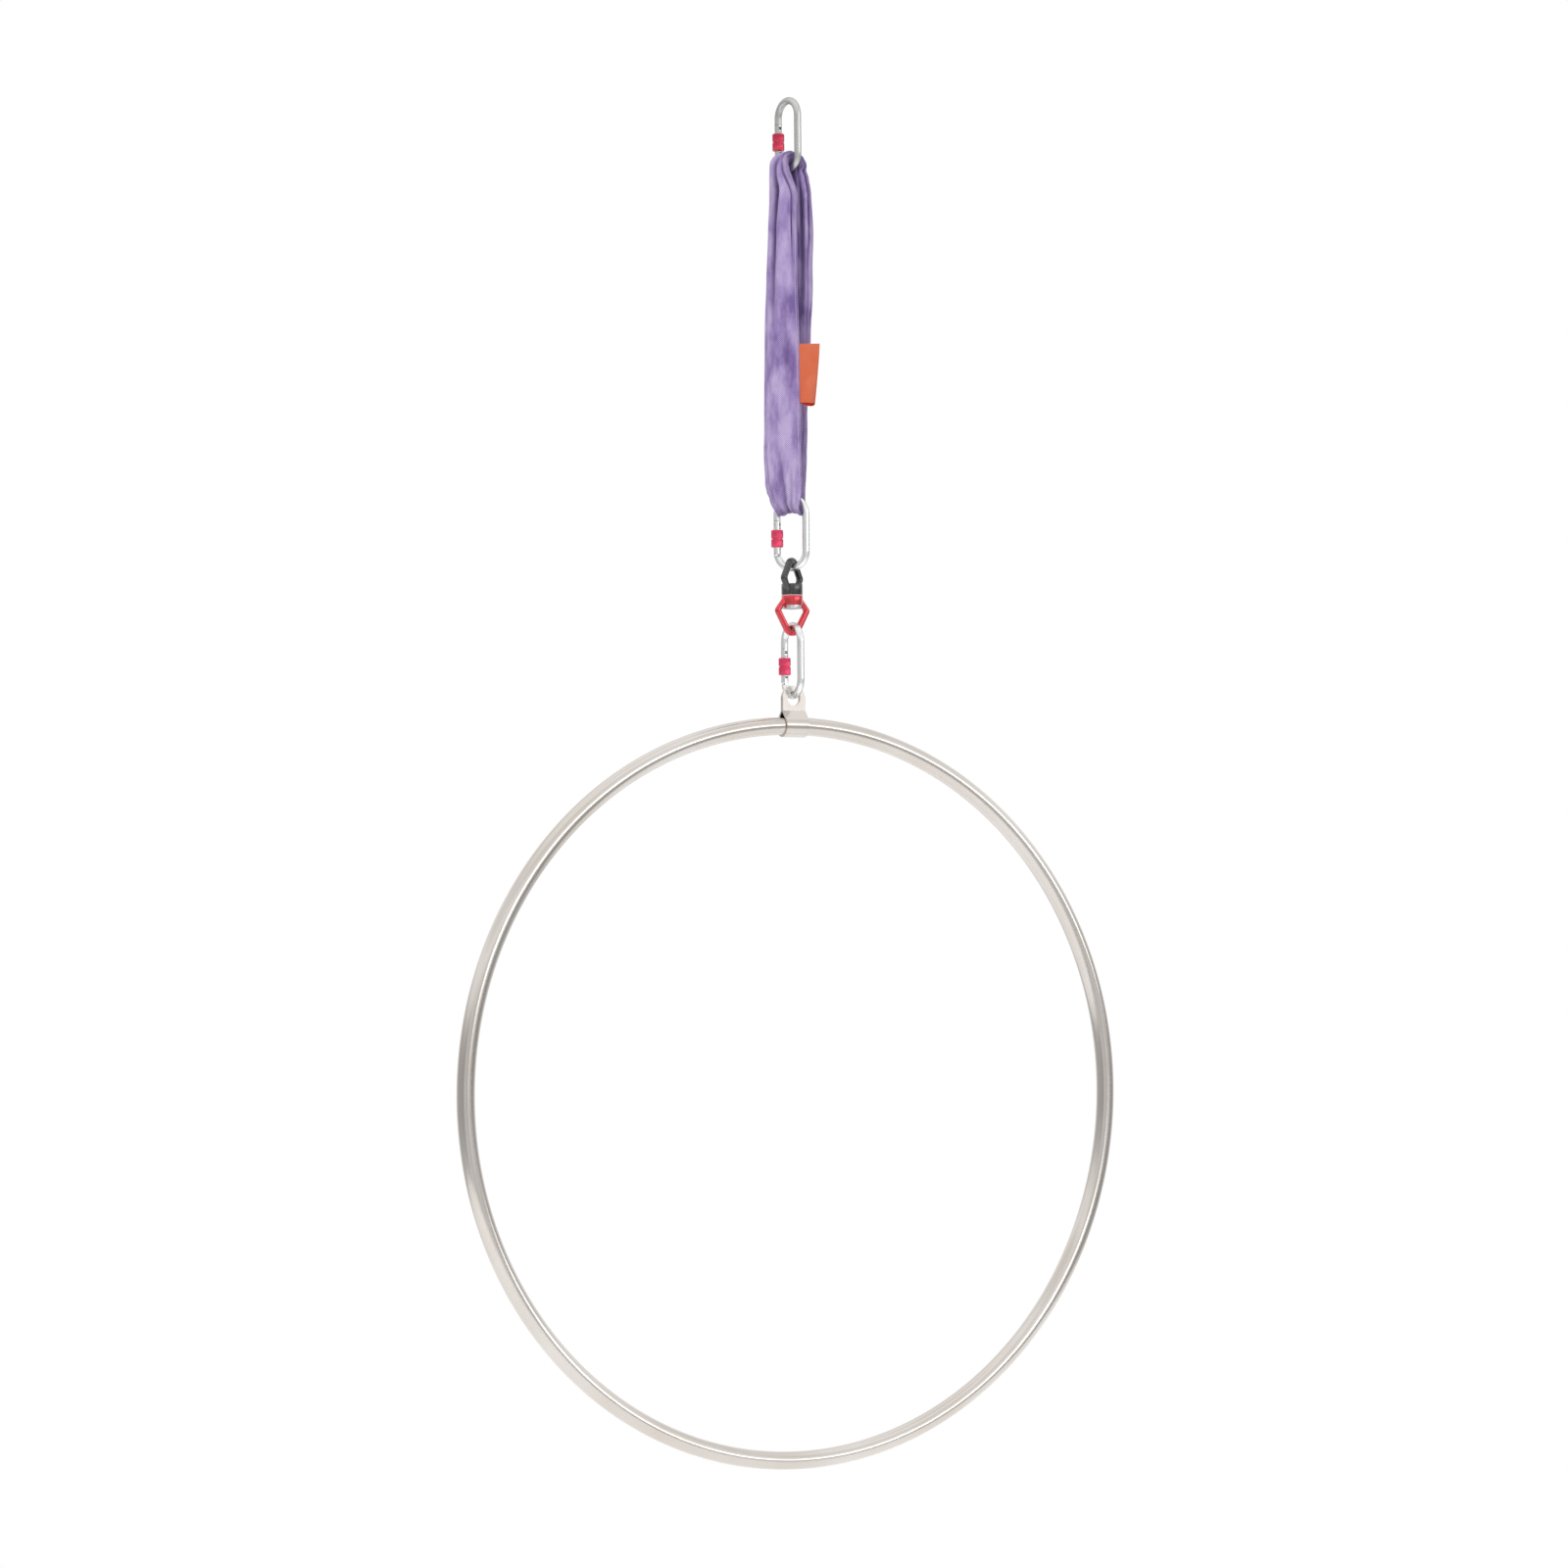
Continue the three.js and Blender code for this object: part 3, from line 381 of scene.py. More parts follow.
def math_node(tree, operation, first, second=0.0, third=0.0):
    """The result of a sum on one to three values or sockets."""
    node = tree.nodes.new("ShaderNodeMath")
    node.operation = operation
    for socket, value in zip(node.inputs, (first, second, third)):
        give(tree, socket, value)
    return node.outputs[0]


def mix_colour(tree, share, first, second, blend="MIX"):
    """One colour mixed with another by a share."""
    node = tree.nodes.new("ShaderNodeMix")
    node.data_type = "RGBA"
    node.blend_type = blend
    for index, value in ((0, share), (6, first), (7, second)):
        give(tree, node.inputs[index], value)
    return node.outputs[2]


def ramp(tree, value, stops):
    """A colour ramp of [place, colour] stops on a value."""
    node = add_node(tree, "ValToRGB", Fac=value)
    elements = node.color_ramp.elements
    while len(elements) > 1:
        elements.remove(elements[-1])
    for index, (place, colour) in enumerate(stops):
        element = elements[0] if index == 0 else elements.new(place)
        element.position = place
        element.color = colour
    return node.outputs[0]


def clouds(tree, scale, detail, coordinates="Object", **inputs):
    """Noise on texture coordinates scaled along each axis."""
    source = add_node(tree, "TexCoord").outputs[coordinates]
    place = add_node(tree, "Mapping", Vector=source, Scale=scale).outputs[0]
    return add_node(tree, "TexNoise", Vector=place, Scale=1.0, Detail=detail, **inputs).outputs[0]


def raised_by(tree, shader, height, strength, distance):
    """Gives a shader a bump."""
    bump = add_node(tree, "Bump", Strength=strength, Distance=distance, Height=height)
    tree.links.new(bump.outputs[0], shader.inputs["Normal"])


def smooth_range(tree, value, low, high):
    """0 at low and 1 at high, smooth between."""
    settings = {"interpolation_type": "SMOOTHSTEP"}
    return add_node(tree, "MapRange", settings, Value=value, From_Min=low, From_Max=high).outputs[0]


# Materials.
def satin_steel():
    """Satin stainless steel, its fine grinding running along the tube."""
    material, tree, shader = new_material("satin_steel", linear(206, 200, 194), 1.0, 0.17)
    grain = clouds(tree, (2600, 18, 1), 3.0, "UV")
    cloud = clouds(tree, (7, 7, 7), 3.0)
    tint = ramp(tree, cloud, [(0.3, linear(206, 199, 192)), (0.7, linear(216, 211, 206))])
    fine = ramp(tree, grain, [(0.3, grey(0.95)), (0.7, grey(1.0))])
    tree.links.new(mix_colour(tree, 1.0, tint, fine, "MULTIPLY"), shader.inputs["Base Color"])
    tree.links.new(math_node(tree, "MULTIPLY_ADD", grain, 0.08, 0.16), shader.inputs["Roughness"])
    raised_by(tree, shader, grain, 0.02, 0.1 * MM)
    return material


def plated_steel(name, colour, roughness):
    """Zinc plated steel bar, a little uneven and darker at grazing angles, with faint handling marks."""
    material, tree, shader = new_material(name, colour, 1.0, roughness, Specular_Tint=PLATING_EDGE)
    cloud = clouds(tree, (40, 40, 25), 3.0)
    tree.links.new(math_node(tree, "MULTIPLY_ADD", cloud, 0.1, roughness - 0.05), shader.inputs["Roughness"])
    dark = tuple(0.93 * value for value in colour[:3]) + (1,)
    tree.links.new(ramp(tree, cloud, [(0.35, dark), (0.6, colour)]), shader.inputs["Base Color"])
    raised_by(tree, shader, clouds(tree, (2200, 2200, 160), 2.0), 0.005, 0.1 * MM)
    return material


def anodised(name, colour, roughness, metallic):
    """Anodised aluminium: dyed, satin, with a fine grain and lighter wear."""
    material, tree, shader = new_material(
        name, colour, metallic, roughness, Coat_Weight=0.6, Coat_Roughness=0.16)
    grain = clouds(tree, (2600, 2600, 2600), 2.0)
    cloud = clouds(tree, (70, 70, 70), 4.0)
    light = tuple(min(1.0, 1.15 * value + 0.005) for value in colour[:3]) + (1,)
    tree.links.new(ramp(tree, cloud, [(0.4, colour), (0.75, light)]), shader.inputs["Base Color"])
    tree.links.new(math_node(tree, "MULTIPLY_ADD", grain, 0.08, roughness - 0.04), shader.inputs["Roughness"])
    raised_by(tree, shader, grain, 0.02, 0.1 * MM)
    return material


def woven(name, base, light, dark):
    """Twill woven polyester: ribs that turn back in chevrons, a slight sheen, painted highlights glinting on
    the ribs, paler blotches of painted sheen and painted shade in the creases.
    """
    material, tree, shader = new_material(
        name, base, 0.0, 0.6, Sheen_Weight=0.3, Sheen_Roughness=0.4, Sheen_Tint=light)
    parts = add_node(tree, "SeparateXYZ", Vector=add_node(tree, "TexCoord").outputs["UV"])
    across, along = parts.outputs[0], parts.outputs[1]
    diagonal = math_node(tree, "ADD", math_node(tree, "PINGPONG", across, RIB_TURN), along)
    ribs = math_node(tree, "SINE", math_node(tree, "MULTIPLY", diagonal, 2 * math.pi / RIB_PITCH))
    threads = math_node(tree, "SINE", math_node(tree, "MULTIPLY", across, 2 * math.pi / THREAD_PITCH))
    raised = math_node(tree, "MULTIPLY_ADD", ribs, 0.5, 0.5)
    dots = math_node(tree, "MULTIPLY_ADD", threads, 0.3, 0.7)
    weave = math_node(tree, "MULTIPLY", math_node(tree, "POWER", raised, 2.5), dots)
    # Painted sheen: the clouds set where the ribs glint with painted highlights, and blotches darker and
    # paler than the base at random; the paler blotches are painted sheen.
    cloud = clouds(tree, (34, 34, 13), 4.0, Roughness=0.6)
    glint_patches = ramp(tree, cloud, [(0.38, grey(0.12)), (0.6, grey(1.0))])
    pale = tuple(0.8 * own + 0.2 * other for own, other in zip(base, light))
    tone = ramp(tree, cloud, [(0.34, dark), (0.5, base), (0.68, pale)])
    # Painted shade: the fold value of each point, from how far creases and gathers pull it in, darkens the
    # colour towards a painted crease shadow and puts out the painted highlights there.
    fold = add_node(tree, "Attribute", {"attribute_name": "fold"}).outputs["Fac"]
    painted_crease_shadow = tuple(0.35 * value for value in dark[:3]) + (1,)
    tone = mix_colour(tree, math_node(tree, "MULTIPLY", fold, 0.8), tone, painted_crease_shadow)
    # Painted highlight: the glints on the ribs mix the light colour into the cloth's colour.
    painted_glint = math_node(tree, "MULTIPLY", weave, glint_patches)
    painted_glint = math_node(tree, "MULTIPLY", painted_glint, math_node(tree, "SUBTRACT", 1.0, fold))
    tree.links.new(mix_colour(tree, painted_glint, tone, light), shader.inputs["Base Color"])
    raised_by(tree, shader, weave, 0.6, 0.5 * MM)
    return material


def plain_cloth(name, colour, shade):
    """A plain close weave, for the label, the yarn and the thread."""
    material, tree, shader = new_material(name, colour, 0.0, 0.8)
    cloud = clouds(tree, (45, 45, 45), 3.0)
    tree.links.new(ramp(tree, cloud, [(0.35, shade), (0.65, colour)]), shader.inputs["Base Color"])
    raised_by(tree, shader, clouds(tree, (1400, 1400, 1400), 2.0), 0.3, 0.2 * MM)
    return material


def make_materials():
    """The materials by name."""
    return {
        "satin_steel": satin_steel(),
        "anchor_steel": plated_steel("anchor_steel", linear(205, 205, 203), 0.38),
        "zinc_steel": plated_steel("zinc_steel", linear(242, 243, 243), 0.3),
        "bright_steel": plated_steel("bright_steel", linear(230, 230, 230), 0.2),
        "crimson": anodised("crimson", linear(206, 46, 80), 0.3, 0.75),
        "pink": anodised("pink", linear(226, 62, 102), 0.3, 0.75),
        "black": anodised("black", linear(66, 66, 68), 0.24, 0.8),
        "red": anodised("red", linear(204, 58, 68), 0.24, 0.75),
        # The light colour is the painted highlight of the glints and the sheen's tint; the dark one sets the
        # dark blotches and the painted crease shadow.
        "purple": woven("purple", linear(142, 117, 176), linear(240, 228, 250), linear(108, 84, 146)),
        "thread": plain_cloth("thread", linear(212, 196, 230), linear(188, 168, 212)),
        "yarn": plain_cloth("yarn", linear(232, 229, 222), linear(206, 200, 190)),
        "orange": plain_cloth("orange", linear(208, 110, 80), linear(204, 100, 66)),
        "orange_inside": plain_cloth("orange_inside", linear(226, 62, 36), linear(205, 48, 28)),
    }


# Meshes.
def mesh_object(name, points, faces, material=None, uvs=None, crisp=CRISP):
    """An object from points and faces, smooth but for edges sharper than an angle."""
    mesh = bpy.data.meshes.new(name)
    mesh.from_pydata([tuple(point) for point in points], [], faces)
    if uvs is not None:
        flat = np.array([corner for face in uvs for corner in face])
        mesh.uv_layers.new(name="UVMap").data.foreach_set("uv", flat.reshape(-1))
    thing = bpy.data.objects.new(name, mesh)
    bpy.context.scene.collection.objects.link(thing)
    if material is not None:
        mesh.materials.append(material)
    smooth(thing, crisp)
    return thing


def smooth(thing, crisp=CRISP):
    """Shades smooth, with edges sharper than an angle kept crisp."""
    thing.data.shade_smooth()
    thing.data.set_sharp_from_angle(angle=crisp)


def skin(rows, sides, wrap, uv_sizes, first_row=0, all_rows=None):
    """The faces between rings of points, and their texture coordinates over a girth and a length."""
    faces, uvs = [], []
    count = all_rows or rows
    for row in range(rows if wrap else rows - 1):
        after = (row + 1) % rows
        low, high = (uv_sizes[1] * (first_row + step) / count for step in (row, row + 1))
        for side in range(sides):
            beside = (side + 1) % sides
            here, there = row * sides, after * sides
            faces.append((here + side, here + beside, there + beside, there + side))
            left, right = (uv_sizes[0] * step / sides for step in (side, side + 1))
            uvs.append([(left, low), (right, low), (right, high), (left, high)])
    return faces, uvs


def loft(name, rings, material=None, wrap=False, uv_sizes=None, crisp=CRISP):
    """A surface through rings of points: closed end to end with wrap, otherwise capped."""
    rings = np.asarray(rings, float)
    rows, sides = rings.shape[:2]
    faces, uvs = skin(rows, sides, wrap, uv_sizes or (1, 1))
    if not wrap:
        last = (rows - 1) * sides
        faces += [tuple(range(sides - 1, -1, -1)), tuple(range(last, last + sides))]
        uvs += [[(0, 0)] * sides] * 2
    thing = mesh_object(name, rings.reshape(-1, 3), faces, material, uvs if uv_sizes else None, crisp)
    face_outwards(thing)
    return thing


def face_outwards(thing):
    """Turns the faces of a closed mesh to point out."""
    shape = bmesh.new()
    shape.from_mesh(thing.data)
    bmesh.ops.recalc_face_normals(shape, faces=shape.faces)
    shape.to_mesh(thing.data)
    shape.free()


def turned(name, profile, segments):
    """A solid of revolution about Z from [radius, height] points that start and end on the axis."""
    points, faces, rows = [], [], []
    for radius, height in profile:
        if radius == 0:
            rows.append([len(points)])
            points.append((0, 0, height))
            continue
        rows.append(list(range(len(points), len(points) + segments)))
        for step in range(segments):
            angle = 2 * math.pi * step / segments
            points.append((radius * math.cos(angle), radius * math.sin(angle), height))
    for low, high in zip(rows, rows[1:]):
        for step in range(segments):
            after = (step + 1) % segments
            corners = [low[step % len(low)], low[after % len(low)]]
            corners += [high[after % len(high)], high[step % len(high)]]
            faces.append(tuple(dict.fromkeys(corners)))
    thing = mesh_object(name, points, faces)
    face_outwards(thing)
    return thing


def plug(radius, low, high, segments):
    """A plain round rod about Z, to cut a hole with."""
    return turned("plug", [(0, low), (radius, low), (radius, high), (0, high)], segments)


def block(name, low, high):
    """A closed box between two corners."""
    points = [(x, y, z) for x in (low[0], high[0]) for y in (low[1], high[1]) for z in (low[2], high[2])]
    faces = [(0, 1, 3, 2), (4, 6, 7, 5), (0, 4, 5, 1), (2, 3, 7, 6), (0, 2, 6, 4), (1, 5, 7, 3)]
    thing = mesh_object(name, points, faces)
    face_outwards(thing)
    return thing


def moved(thing, place, turn=0, axis="Z"):
    """Turns a mesh about an axis, then moves it."""
    thing.data.transform(Matrix.Translation(place) @ Matrix.Rotation(turn, 4, axis))
    return thing


def settle(thing):
    """Makes the result of an object's modifiers its mesh."""
    depsgraph = bpy.context.evaluated_depsgraph_get()
    result = bpy.data.meshes.new_from_object(thing.evaluated_get(depsgraph))
    thing.modifiers.clear()
    thing.data = result
    return thing


def combine(thing, other, operation):
    """Cuts another object from this one, or joins it on. The other is used up."""
    modifier = thing.modifiers.new("combine", "BOOLEAN")
    modifier.operation = operation
    modifier.solver = "EXACT"
    modifier.object = other
    settle(thing)
    bpy.data.objects.remove(other)
    return thing


def cut(thing, *cutters):
    """Cuts other objects from this one."""
    for cutter in cutters:
        combine(thing, cutter, "DIFFERENCE")
    return thing


def joined(thing, *others):
    """Joins other objects on to this one."""
    for other in others:
        combine(thing, other, "UNION")
    return thing


def softened(thing, width, angle=BEVEL_ANGLE):
    """Rounds the sharp edges a little, so that they catch the light."""
    modifier = thing.modifiers.new("soften", "BEVEL")
    modifier.width = width
    modifier.segments = 2
    modifier.limit_method = "ANGLE"
    modifier.angle_limit = math.radians(angle)
    settle(thing)
    smooth(thing)
    thing.modifiers.new("weighted", "WEIGHTED_NORMAL").keep_sharp = True
    return settle(thing)


def dressed(thing, material, node, body):
    """Puts a finished piece in the place of a node, on its body."""
    thing.data.materials.clear()
    thing.data.materials.append(material)
    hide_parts(node)
    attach(thing, body)
    return thing


def tube_rings(centres, tangents, radius, sides):
    """Rings of points round a line in the plane of X and Z, each square to it."""
    rings = []
    turns = np.linspace(0, 2 * math.pi, sides, endpoint=False)
    first = Vector((0, 1, 0))
    for centre, tangent in zip(centres, tangents):
        second = Vector(tangent).normalized().cross(first).normalized()
        rings.append([
            tuple(Vector(centre) + radius * (math.cos(turn) * first + math.sin(turn) * second))
            for turn in turns])
    return rings


def belt(circles, corner_points):
    """The outline of a tight belt round circles (x, y, radius) given anticlockwise."""
    normals = []
    for index, (x, y, radius) in enumerate(circles):
        next_x, next_y, next_radius = circles[(index + 1) % len(circles)]
        along = math.atan2(next_y - y, next_x - x)
        apart = math.hypot(next_x - x, next_y - y)
        normals.append(along - math.pi / 2 + math.asin((radius - next_radius) / apart))
    outline = []
    for index, (x, y, radius) in enumerate(circles):
        start = normals[index - 1]
        sweep = (normals[index] - start) % (2 * math.pi)
        for step in range(corner_points + 1):
            turn = start + sweep * step / corner_points
            outline.append((x + radius * math.cos(turn), y + radius * math.sin(turn)))
    return outline


def rounded_plate(name, circles, thickness, edge, flare):
    """A belt's plate in X and Z whose rims are rounded, or flared where it cuts a window."""
    levels = []
    for turn in np.linspace(0, math.pi / 2, EYE_EDGE_POINTS):
        inset = edge * (1 - math.sin(turn))
        levels.append((-inset if flare else inset, thickness / 2 - edge + edge * math.cos(turn)))
    if flare:
        levels.insert(0, (levels[0][0], levels[0][1] + OVERCUT))
    levels += [(inset, -height) for inset, height in reversed(levels)]
    rings = []
    for inset, height in levels:
        outline = belt([(x, y, radius - inset) for x, y, radius in circles], EYE_CORNER_STEPS)
        rings.append([(x, height, y) for x, y in outline])
    return loft(name, rings)


# The carabiners.
def oval_point(distance):
    """A point of a carabiner's centreline and its direction, by distance from the crown to the spine side."""
    crown = -BAR_RADIUS - ARC_RADIUS
    side = -1 if distance < 0 else 1
    along = abs(distance)
    if along <= QUARTER:
        turn = along / ARC_RADIUS
        place = (side * ARC_RADIUS * math.sin(turn), 0, crown + ARC_RADIUS * math.cos(turn))
        return place, (side * math.cos(turn), 0, -math.sin(turn))
    if along <= QUARTER + STRAIGHT:
        return (side * ARC_RADIUS, 0, crown - (along - QUARTER)), (0, 0, -1)
    turn = (along - QUARTER - STRAIGHT) / ARC_RADIUS
    foot = crown - STRAIGHT
    place = (side * ARC_RADIUS * math.cos(turn), 0, foot - ARC_RADIUS * math.sin(turn))
    return place, (-side * math.sin(turn), 0, -math.cos(turn))


def carabiner_place(name):
    """Where a carabiner hangs."""
    crown, degrees = CARABINERS[name]
    return Matrix.Translation((0, 0, crown)) @ Matrix.Rotation(math.radians(degrees), 4, "Z")


def gate_block(name, left, right, half, foot, top):
    """A block about the gate's axis, by its reach to either side and its levels."""
    return block(name, (-ARC_RADIUS - left, -half, foot), (-ARC_RADIUS + right, half, top))


def cross_rod(radius, half, depth):
    """A rod across the gate."""
    return moved(plug(radius, -half, half, ROD_SIDES), (-ARC_RADIUS, 0, -depth), math.pi / 2, "X")


def carabiner_body():
    """The bent bar with its hooked nose and its hinge tang."""
    nose_end = -(QUARTER + NOSE_DEPTH - BAR_RADIUS - ARC_RADIUS)
    hinge_end = QUARTER + STRAIGHT + ARC_RADIUS * math.pi
    centres, tangents = [], []
    for distance in np.linspace(nose_end, hinge_end, BAR_STATIONS):
        place, direction = oval_point(distance)
        centres.append(place)
        tangents.append([-value for value in direction] if distance < 0 else direction)
    bar = loft("bar", tube_rings(centres, tangents, BAR_RADIUS, BAR_SIDES))
    reach = 2 * BAR_RADIUS
    half = TONGUE_WIDTH / 2
    thick = TONGUE_THICKNESS / 2
    mouth = gate_block("mouth", reach, reach, reach, -SHOULDER_DEPTH, -NOSE_DEPTH - CLEARANCE)
    tongue = gate_block("tongue", half, half, thick, -TONGUE_DEPTH, -NOSE_DEPTH + CLEARANCE)
    room = PIN_RADIUS + CLEARANCE
    notch = gate_block("notch", room, reach, reach, -LATCH_DEPTH - room - 2 * CLEARANCE, -LATCH_DEPTH + room)
    tang = gate_block("tang", TANG_WIDTH / 2, TANG_WIDTH / 2, thick, -SHOULDER_DEPTH - CLEARANCE,
                      -HINGE_DEPTH + TANG_RISE)
    cut(bar, mouth)
    joined(bar, cut(tongue, notch), tang)
    cut(bar, cross_rod(PIN_RADIUS + CLEARANCE / 2, reach, HINGE_DEPTH))
    return softened(bar, BODY_SOFTENING)


def carabiner_gate():
    """The gate, slotted at the top for the nose and at the foot for the tang."""
    dome = [(BAR_RADIUS * math.sin(turn), -HINGE_DEPTH - BAR_RADIUS * math.cos(turn))
            for turn in np.linspace(0, math.pi / 2, GATE_DOME_POINTS)]
    profile = [(0, dome[0][1])] + dome[1:] + [(BAR_RADIUS, -GATE_TOP_DEPTH), (0, -GATE_TOP_DEPTH)]
    bar = moved(turned("gate", profile, GATE_SIDES), (-ARC_RADIUS, 0, 0))
    wide = 2 * BAR_RADIUS
    slot = SLOT_WIDTH / 2
    upper = gate_block("upper", wide, wide, slot, -UPPER_SLOT_DEPTH, -GATE_TOP_DEPTH + wide)
    lower = gate_block("lower", wide, wide, slot, -HINGE_DEPTH - wide, -HINGE_DEPTH + LOWER_SLOT_RISE)
    bore = moved(plug(GATE_BORE_RADIUS, -HINGE_DEPTH, -GATE_BORE_TOP, ROD_SIDES), (-ARC_RADIUS, 0, 0))
    cut(bar, upper, lower, bore)
    pin_hole = PIN_RADIUS + CLEARANCE / 2
    cut(bar, cross_rod(pin_hole, wide, HINGE_DEPTH), cross_rod(pin_hole, wide, LATCH_DEPTH))
    return softened(bar, FINE_SOFTENING)


def screw_sleeve():
    """The sleeve: two knurled bands with a plain groove between, and rounded ends."""
    wall = SLEEVE_RADIUS - SLEEVE_BORE
    foot = -SLEEVE_TOP - SLEEVE_LENGTH
    rings = []
    for share, inset, knurled in SLEEVE_SHARES:
        ring = []
        for step in range(SLEEVE_SIDES):
            turn = 2 * math.pi * step / SLEEVE_SIDES
            flute = knurled * KNURL_DEPTH * (0.5 - 0.5 * math.cos(KNURLS * turn))
            radius = SLEEVE_RADIUS - inset * wall - flute
            ring.append((radius * math.cos(turn), radius * math.sin(turn), foot + share * SLEEVE_LENGTH))
        rings.append(ring)
    return moved(loft("sleeve", rings, wrap=True, crisp=SLEEVE_CRISP), (-ARC_RADIUS, 0, 0))


def domed_pin(depth):
    """A pin across the gate, its ends domed."""
    half = BAR_RADIUS - PIN_SINK
    profile = [(0, -half), (PIN_FACE_SHARE * PIN_RADIUS, -half + PIN_SHOULDER_SHARE * PIN_DOME),
               (PIN_RADIUS, -half + PIN_DOME)]
    profile += [(radius, -height) for radius, height in reversed(profile)]
    return moved(turned("pin", profile, ROD_SIDES), (-ARC_RADIUS, 0, -depth), math.pi / 2, "X")


def make_carabiners(materials):
    """All three carabiners, from one set of pieces."""
    shapes = {
        "body": carabiner_body(),
        "gate": carabiner_gate(),
        "screw_sleeve": screw_sleeve(),
        "hinge_rivet": domed_pin(HINGE_DEPTH),
        "latch_pin": domed_pin(LATCH_DEPTH),
    }
    for name in CARABINERS:
        steel, sleeve = ("anchor_steel", "crimson") if name == "anchor" else ("zinc_steel", "pink")
        looks = {
            "body": (steel, "zinc_steel", "_carabiner"),
            "gate": (steel, "zinc_steel", "_gate"),
            "screw_sleeve": (sleeve, sleeve + "_anodised", "_screw_sleeve"),
            "hinge_rivet": ("bright_steel", "bright_steel", "_carabiner"),
            "latch_pin": ("bright_steel", "bright_steel", "_gate"),
        }
        for part, shape in shapes.items():
            finish, slot, body = looks[part]
            node = name + "_carabiner_" + part
            piece = bpy.data.objects.new(node + "_fine", shape.data.copy())
            piece.data.name = piece.name
            piece.data.transform(carabiner_place(name))
            bpy.context.scene.collection.objects.link(piece)
            dressed(piece, materials[finish], node, name + body)
    for shape in shapes.values():
        bpy.data.objects.remove(shape)


# The swivel.
def eye_plate(name, neck, barrel_height):
    """An eye's plate, its crown bar centred on the origin and its neck above."""
    crown = EYE_BAR / 2 + EYE_CROWN_RADIUS
    vertex = EYE_HALF_WIDTH - EYE_VERTEX_RADIUS
    vertex_height = neck - EYE_VERTEX_DROP
    shoulder = EYE_EDGE + SHOULDER_ROUND
    shoulder_height = neck + min(SHOULDER_RISE, barrel_height - SHOULDER_ROUND) - shoulder
    shoulder_out = SWIVEL_RADIUS - shoulder
    outline = [
        (0, crown, EYE_CROWN_RADIUS + EYE_BAR), (vertex, vertex_height, EYE_VERTEX_RADIUS),
        (shoulder_out, shoulder_height, shoulder), (-shoulder_out, shoulder_height, shoulder),
        (-vertex, vertex_height, EYE_VERTEX_RADIUS),
    ]
    window_vertex = EYE_HALF_WIDTH - EYE_BAR - WINDOW_CORNER
    window_top = WINDOW_TOP / 2 - WINDOW_CORNER
    window = [
        (0, crown, EYE_CROWN_RADIUS), (window_vertex, vertex_height, WINDOW_CORNER),
        (window_top, neck - WINDOW_CORNER, WINDOW_CORNER), (-window_top, neck - WINDOW_CORNER, WINDOW_CORNER),
        (-window_vertex, vertex_height, WINDOW_CORNER),
    ]
    plate = rounded_plate(name, outline, EYE_THICKNESS, EYE_EDGE, False)
    return cut(plate, rounded_plate("window", window, EYE_THICKNESS, EYE_EDGE, True))


def barrel(low, high):
    """A round barrel with softened rims."""
    chamfer = RIM_SHARE * RIM
    foot = [(0, low), (SWIVEL_RADIUS - RIM, low), (SWIVEL_RADIUS - chamfer, low + chamfer),
            (SWIVEL_RADIUS, low + RIM)]
    top = [(radius, low + high - height) for radius, height in reversed(foot)]
    return turned("barrel", foot + top, BARREL_SIDES)


def bare_rim(piece, material):
    """Leaves the turned rim at the top of the lower barrel bright."""
    piece.data.materials.append(material)
    for face in piece.data.polygons:
        out = math.hypot(face.center.x, face.center.y)
        if face.center.z > LOWER_BARREL[1] - RIM and out > SWIVEL_RADIUS - BARE_SHARE * RIM:
            face.material_index = 1


def make_cap(materials):
    """The cap under the bearing, its lower edge rounded and a turned groove on its face."""
    foot, top = CAP_LEVELS
    rim_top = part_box("swivel_cap")[1][2]
    rim_outer = POCKET_RADIUS - CLEARANCE
    rim_inner = rim_outer - CAP_RIM
    groove = CAP_GROOVE_SHARE * CAP_RADIUS
    profile = [(0, foot), (groove, foot), (groove + RIM / 2, foot + RIM / 2), (groove + RIM, foot)]
    for turn in np.linspace(0, math.pi / 2, CAP_EDGE_POINTS):
        profile.append((CAP_RADIUS - RIM + RIM * math.sin(turn), foot + RIM - RIM * math.cos(turn)))
    profile += [(CAP_RADIUS, top), (rim_outer, top), (rim_outer, rim_top), (rim_inner, rim_top),
                (rim_inner, top), (0, top)]
    cap = turned("swivel_cap_fine", profile, CAP_SIDES)
    dressed(cap, materials["bright_steel"], "swivel_cap", "swivel_lower")


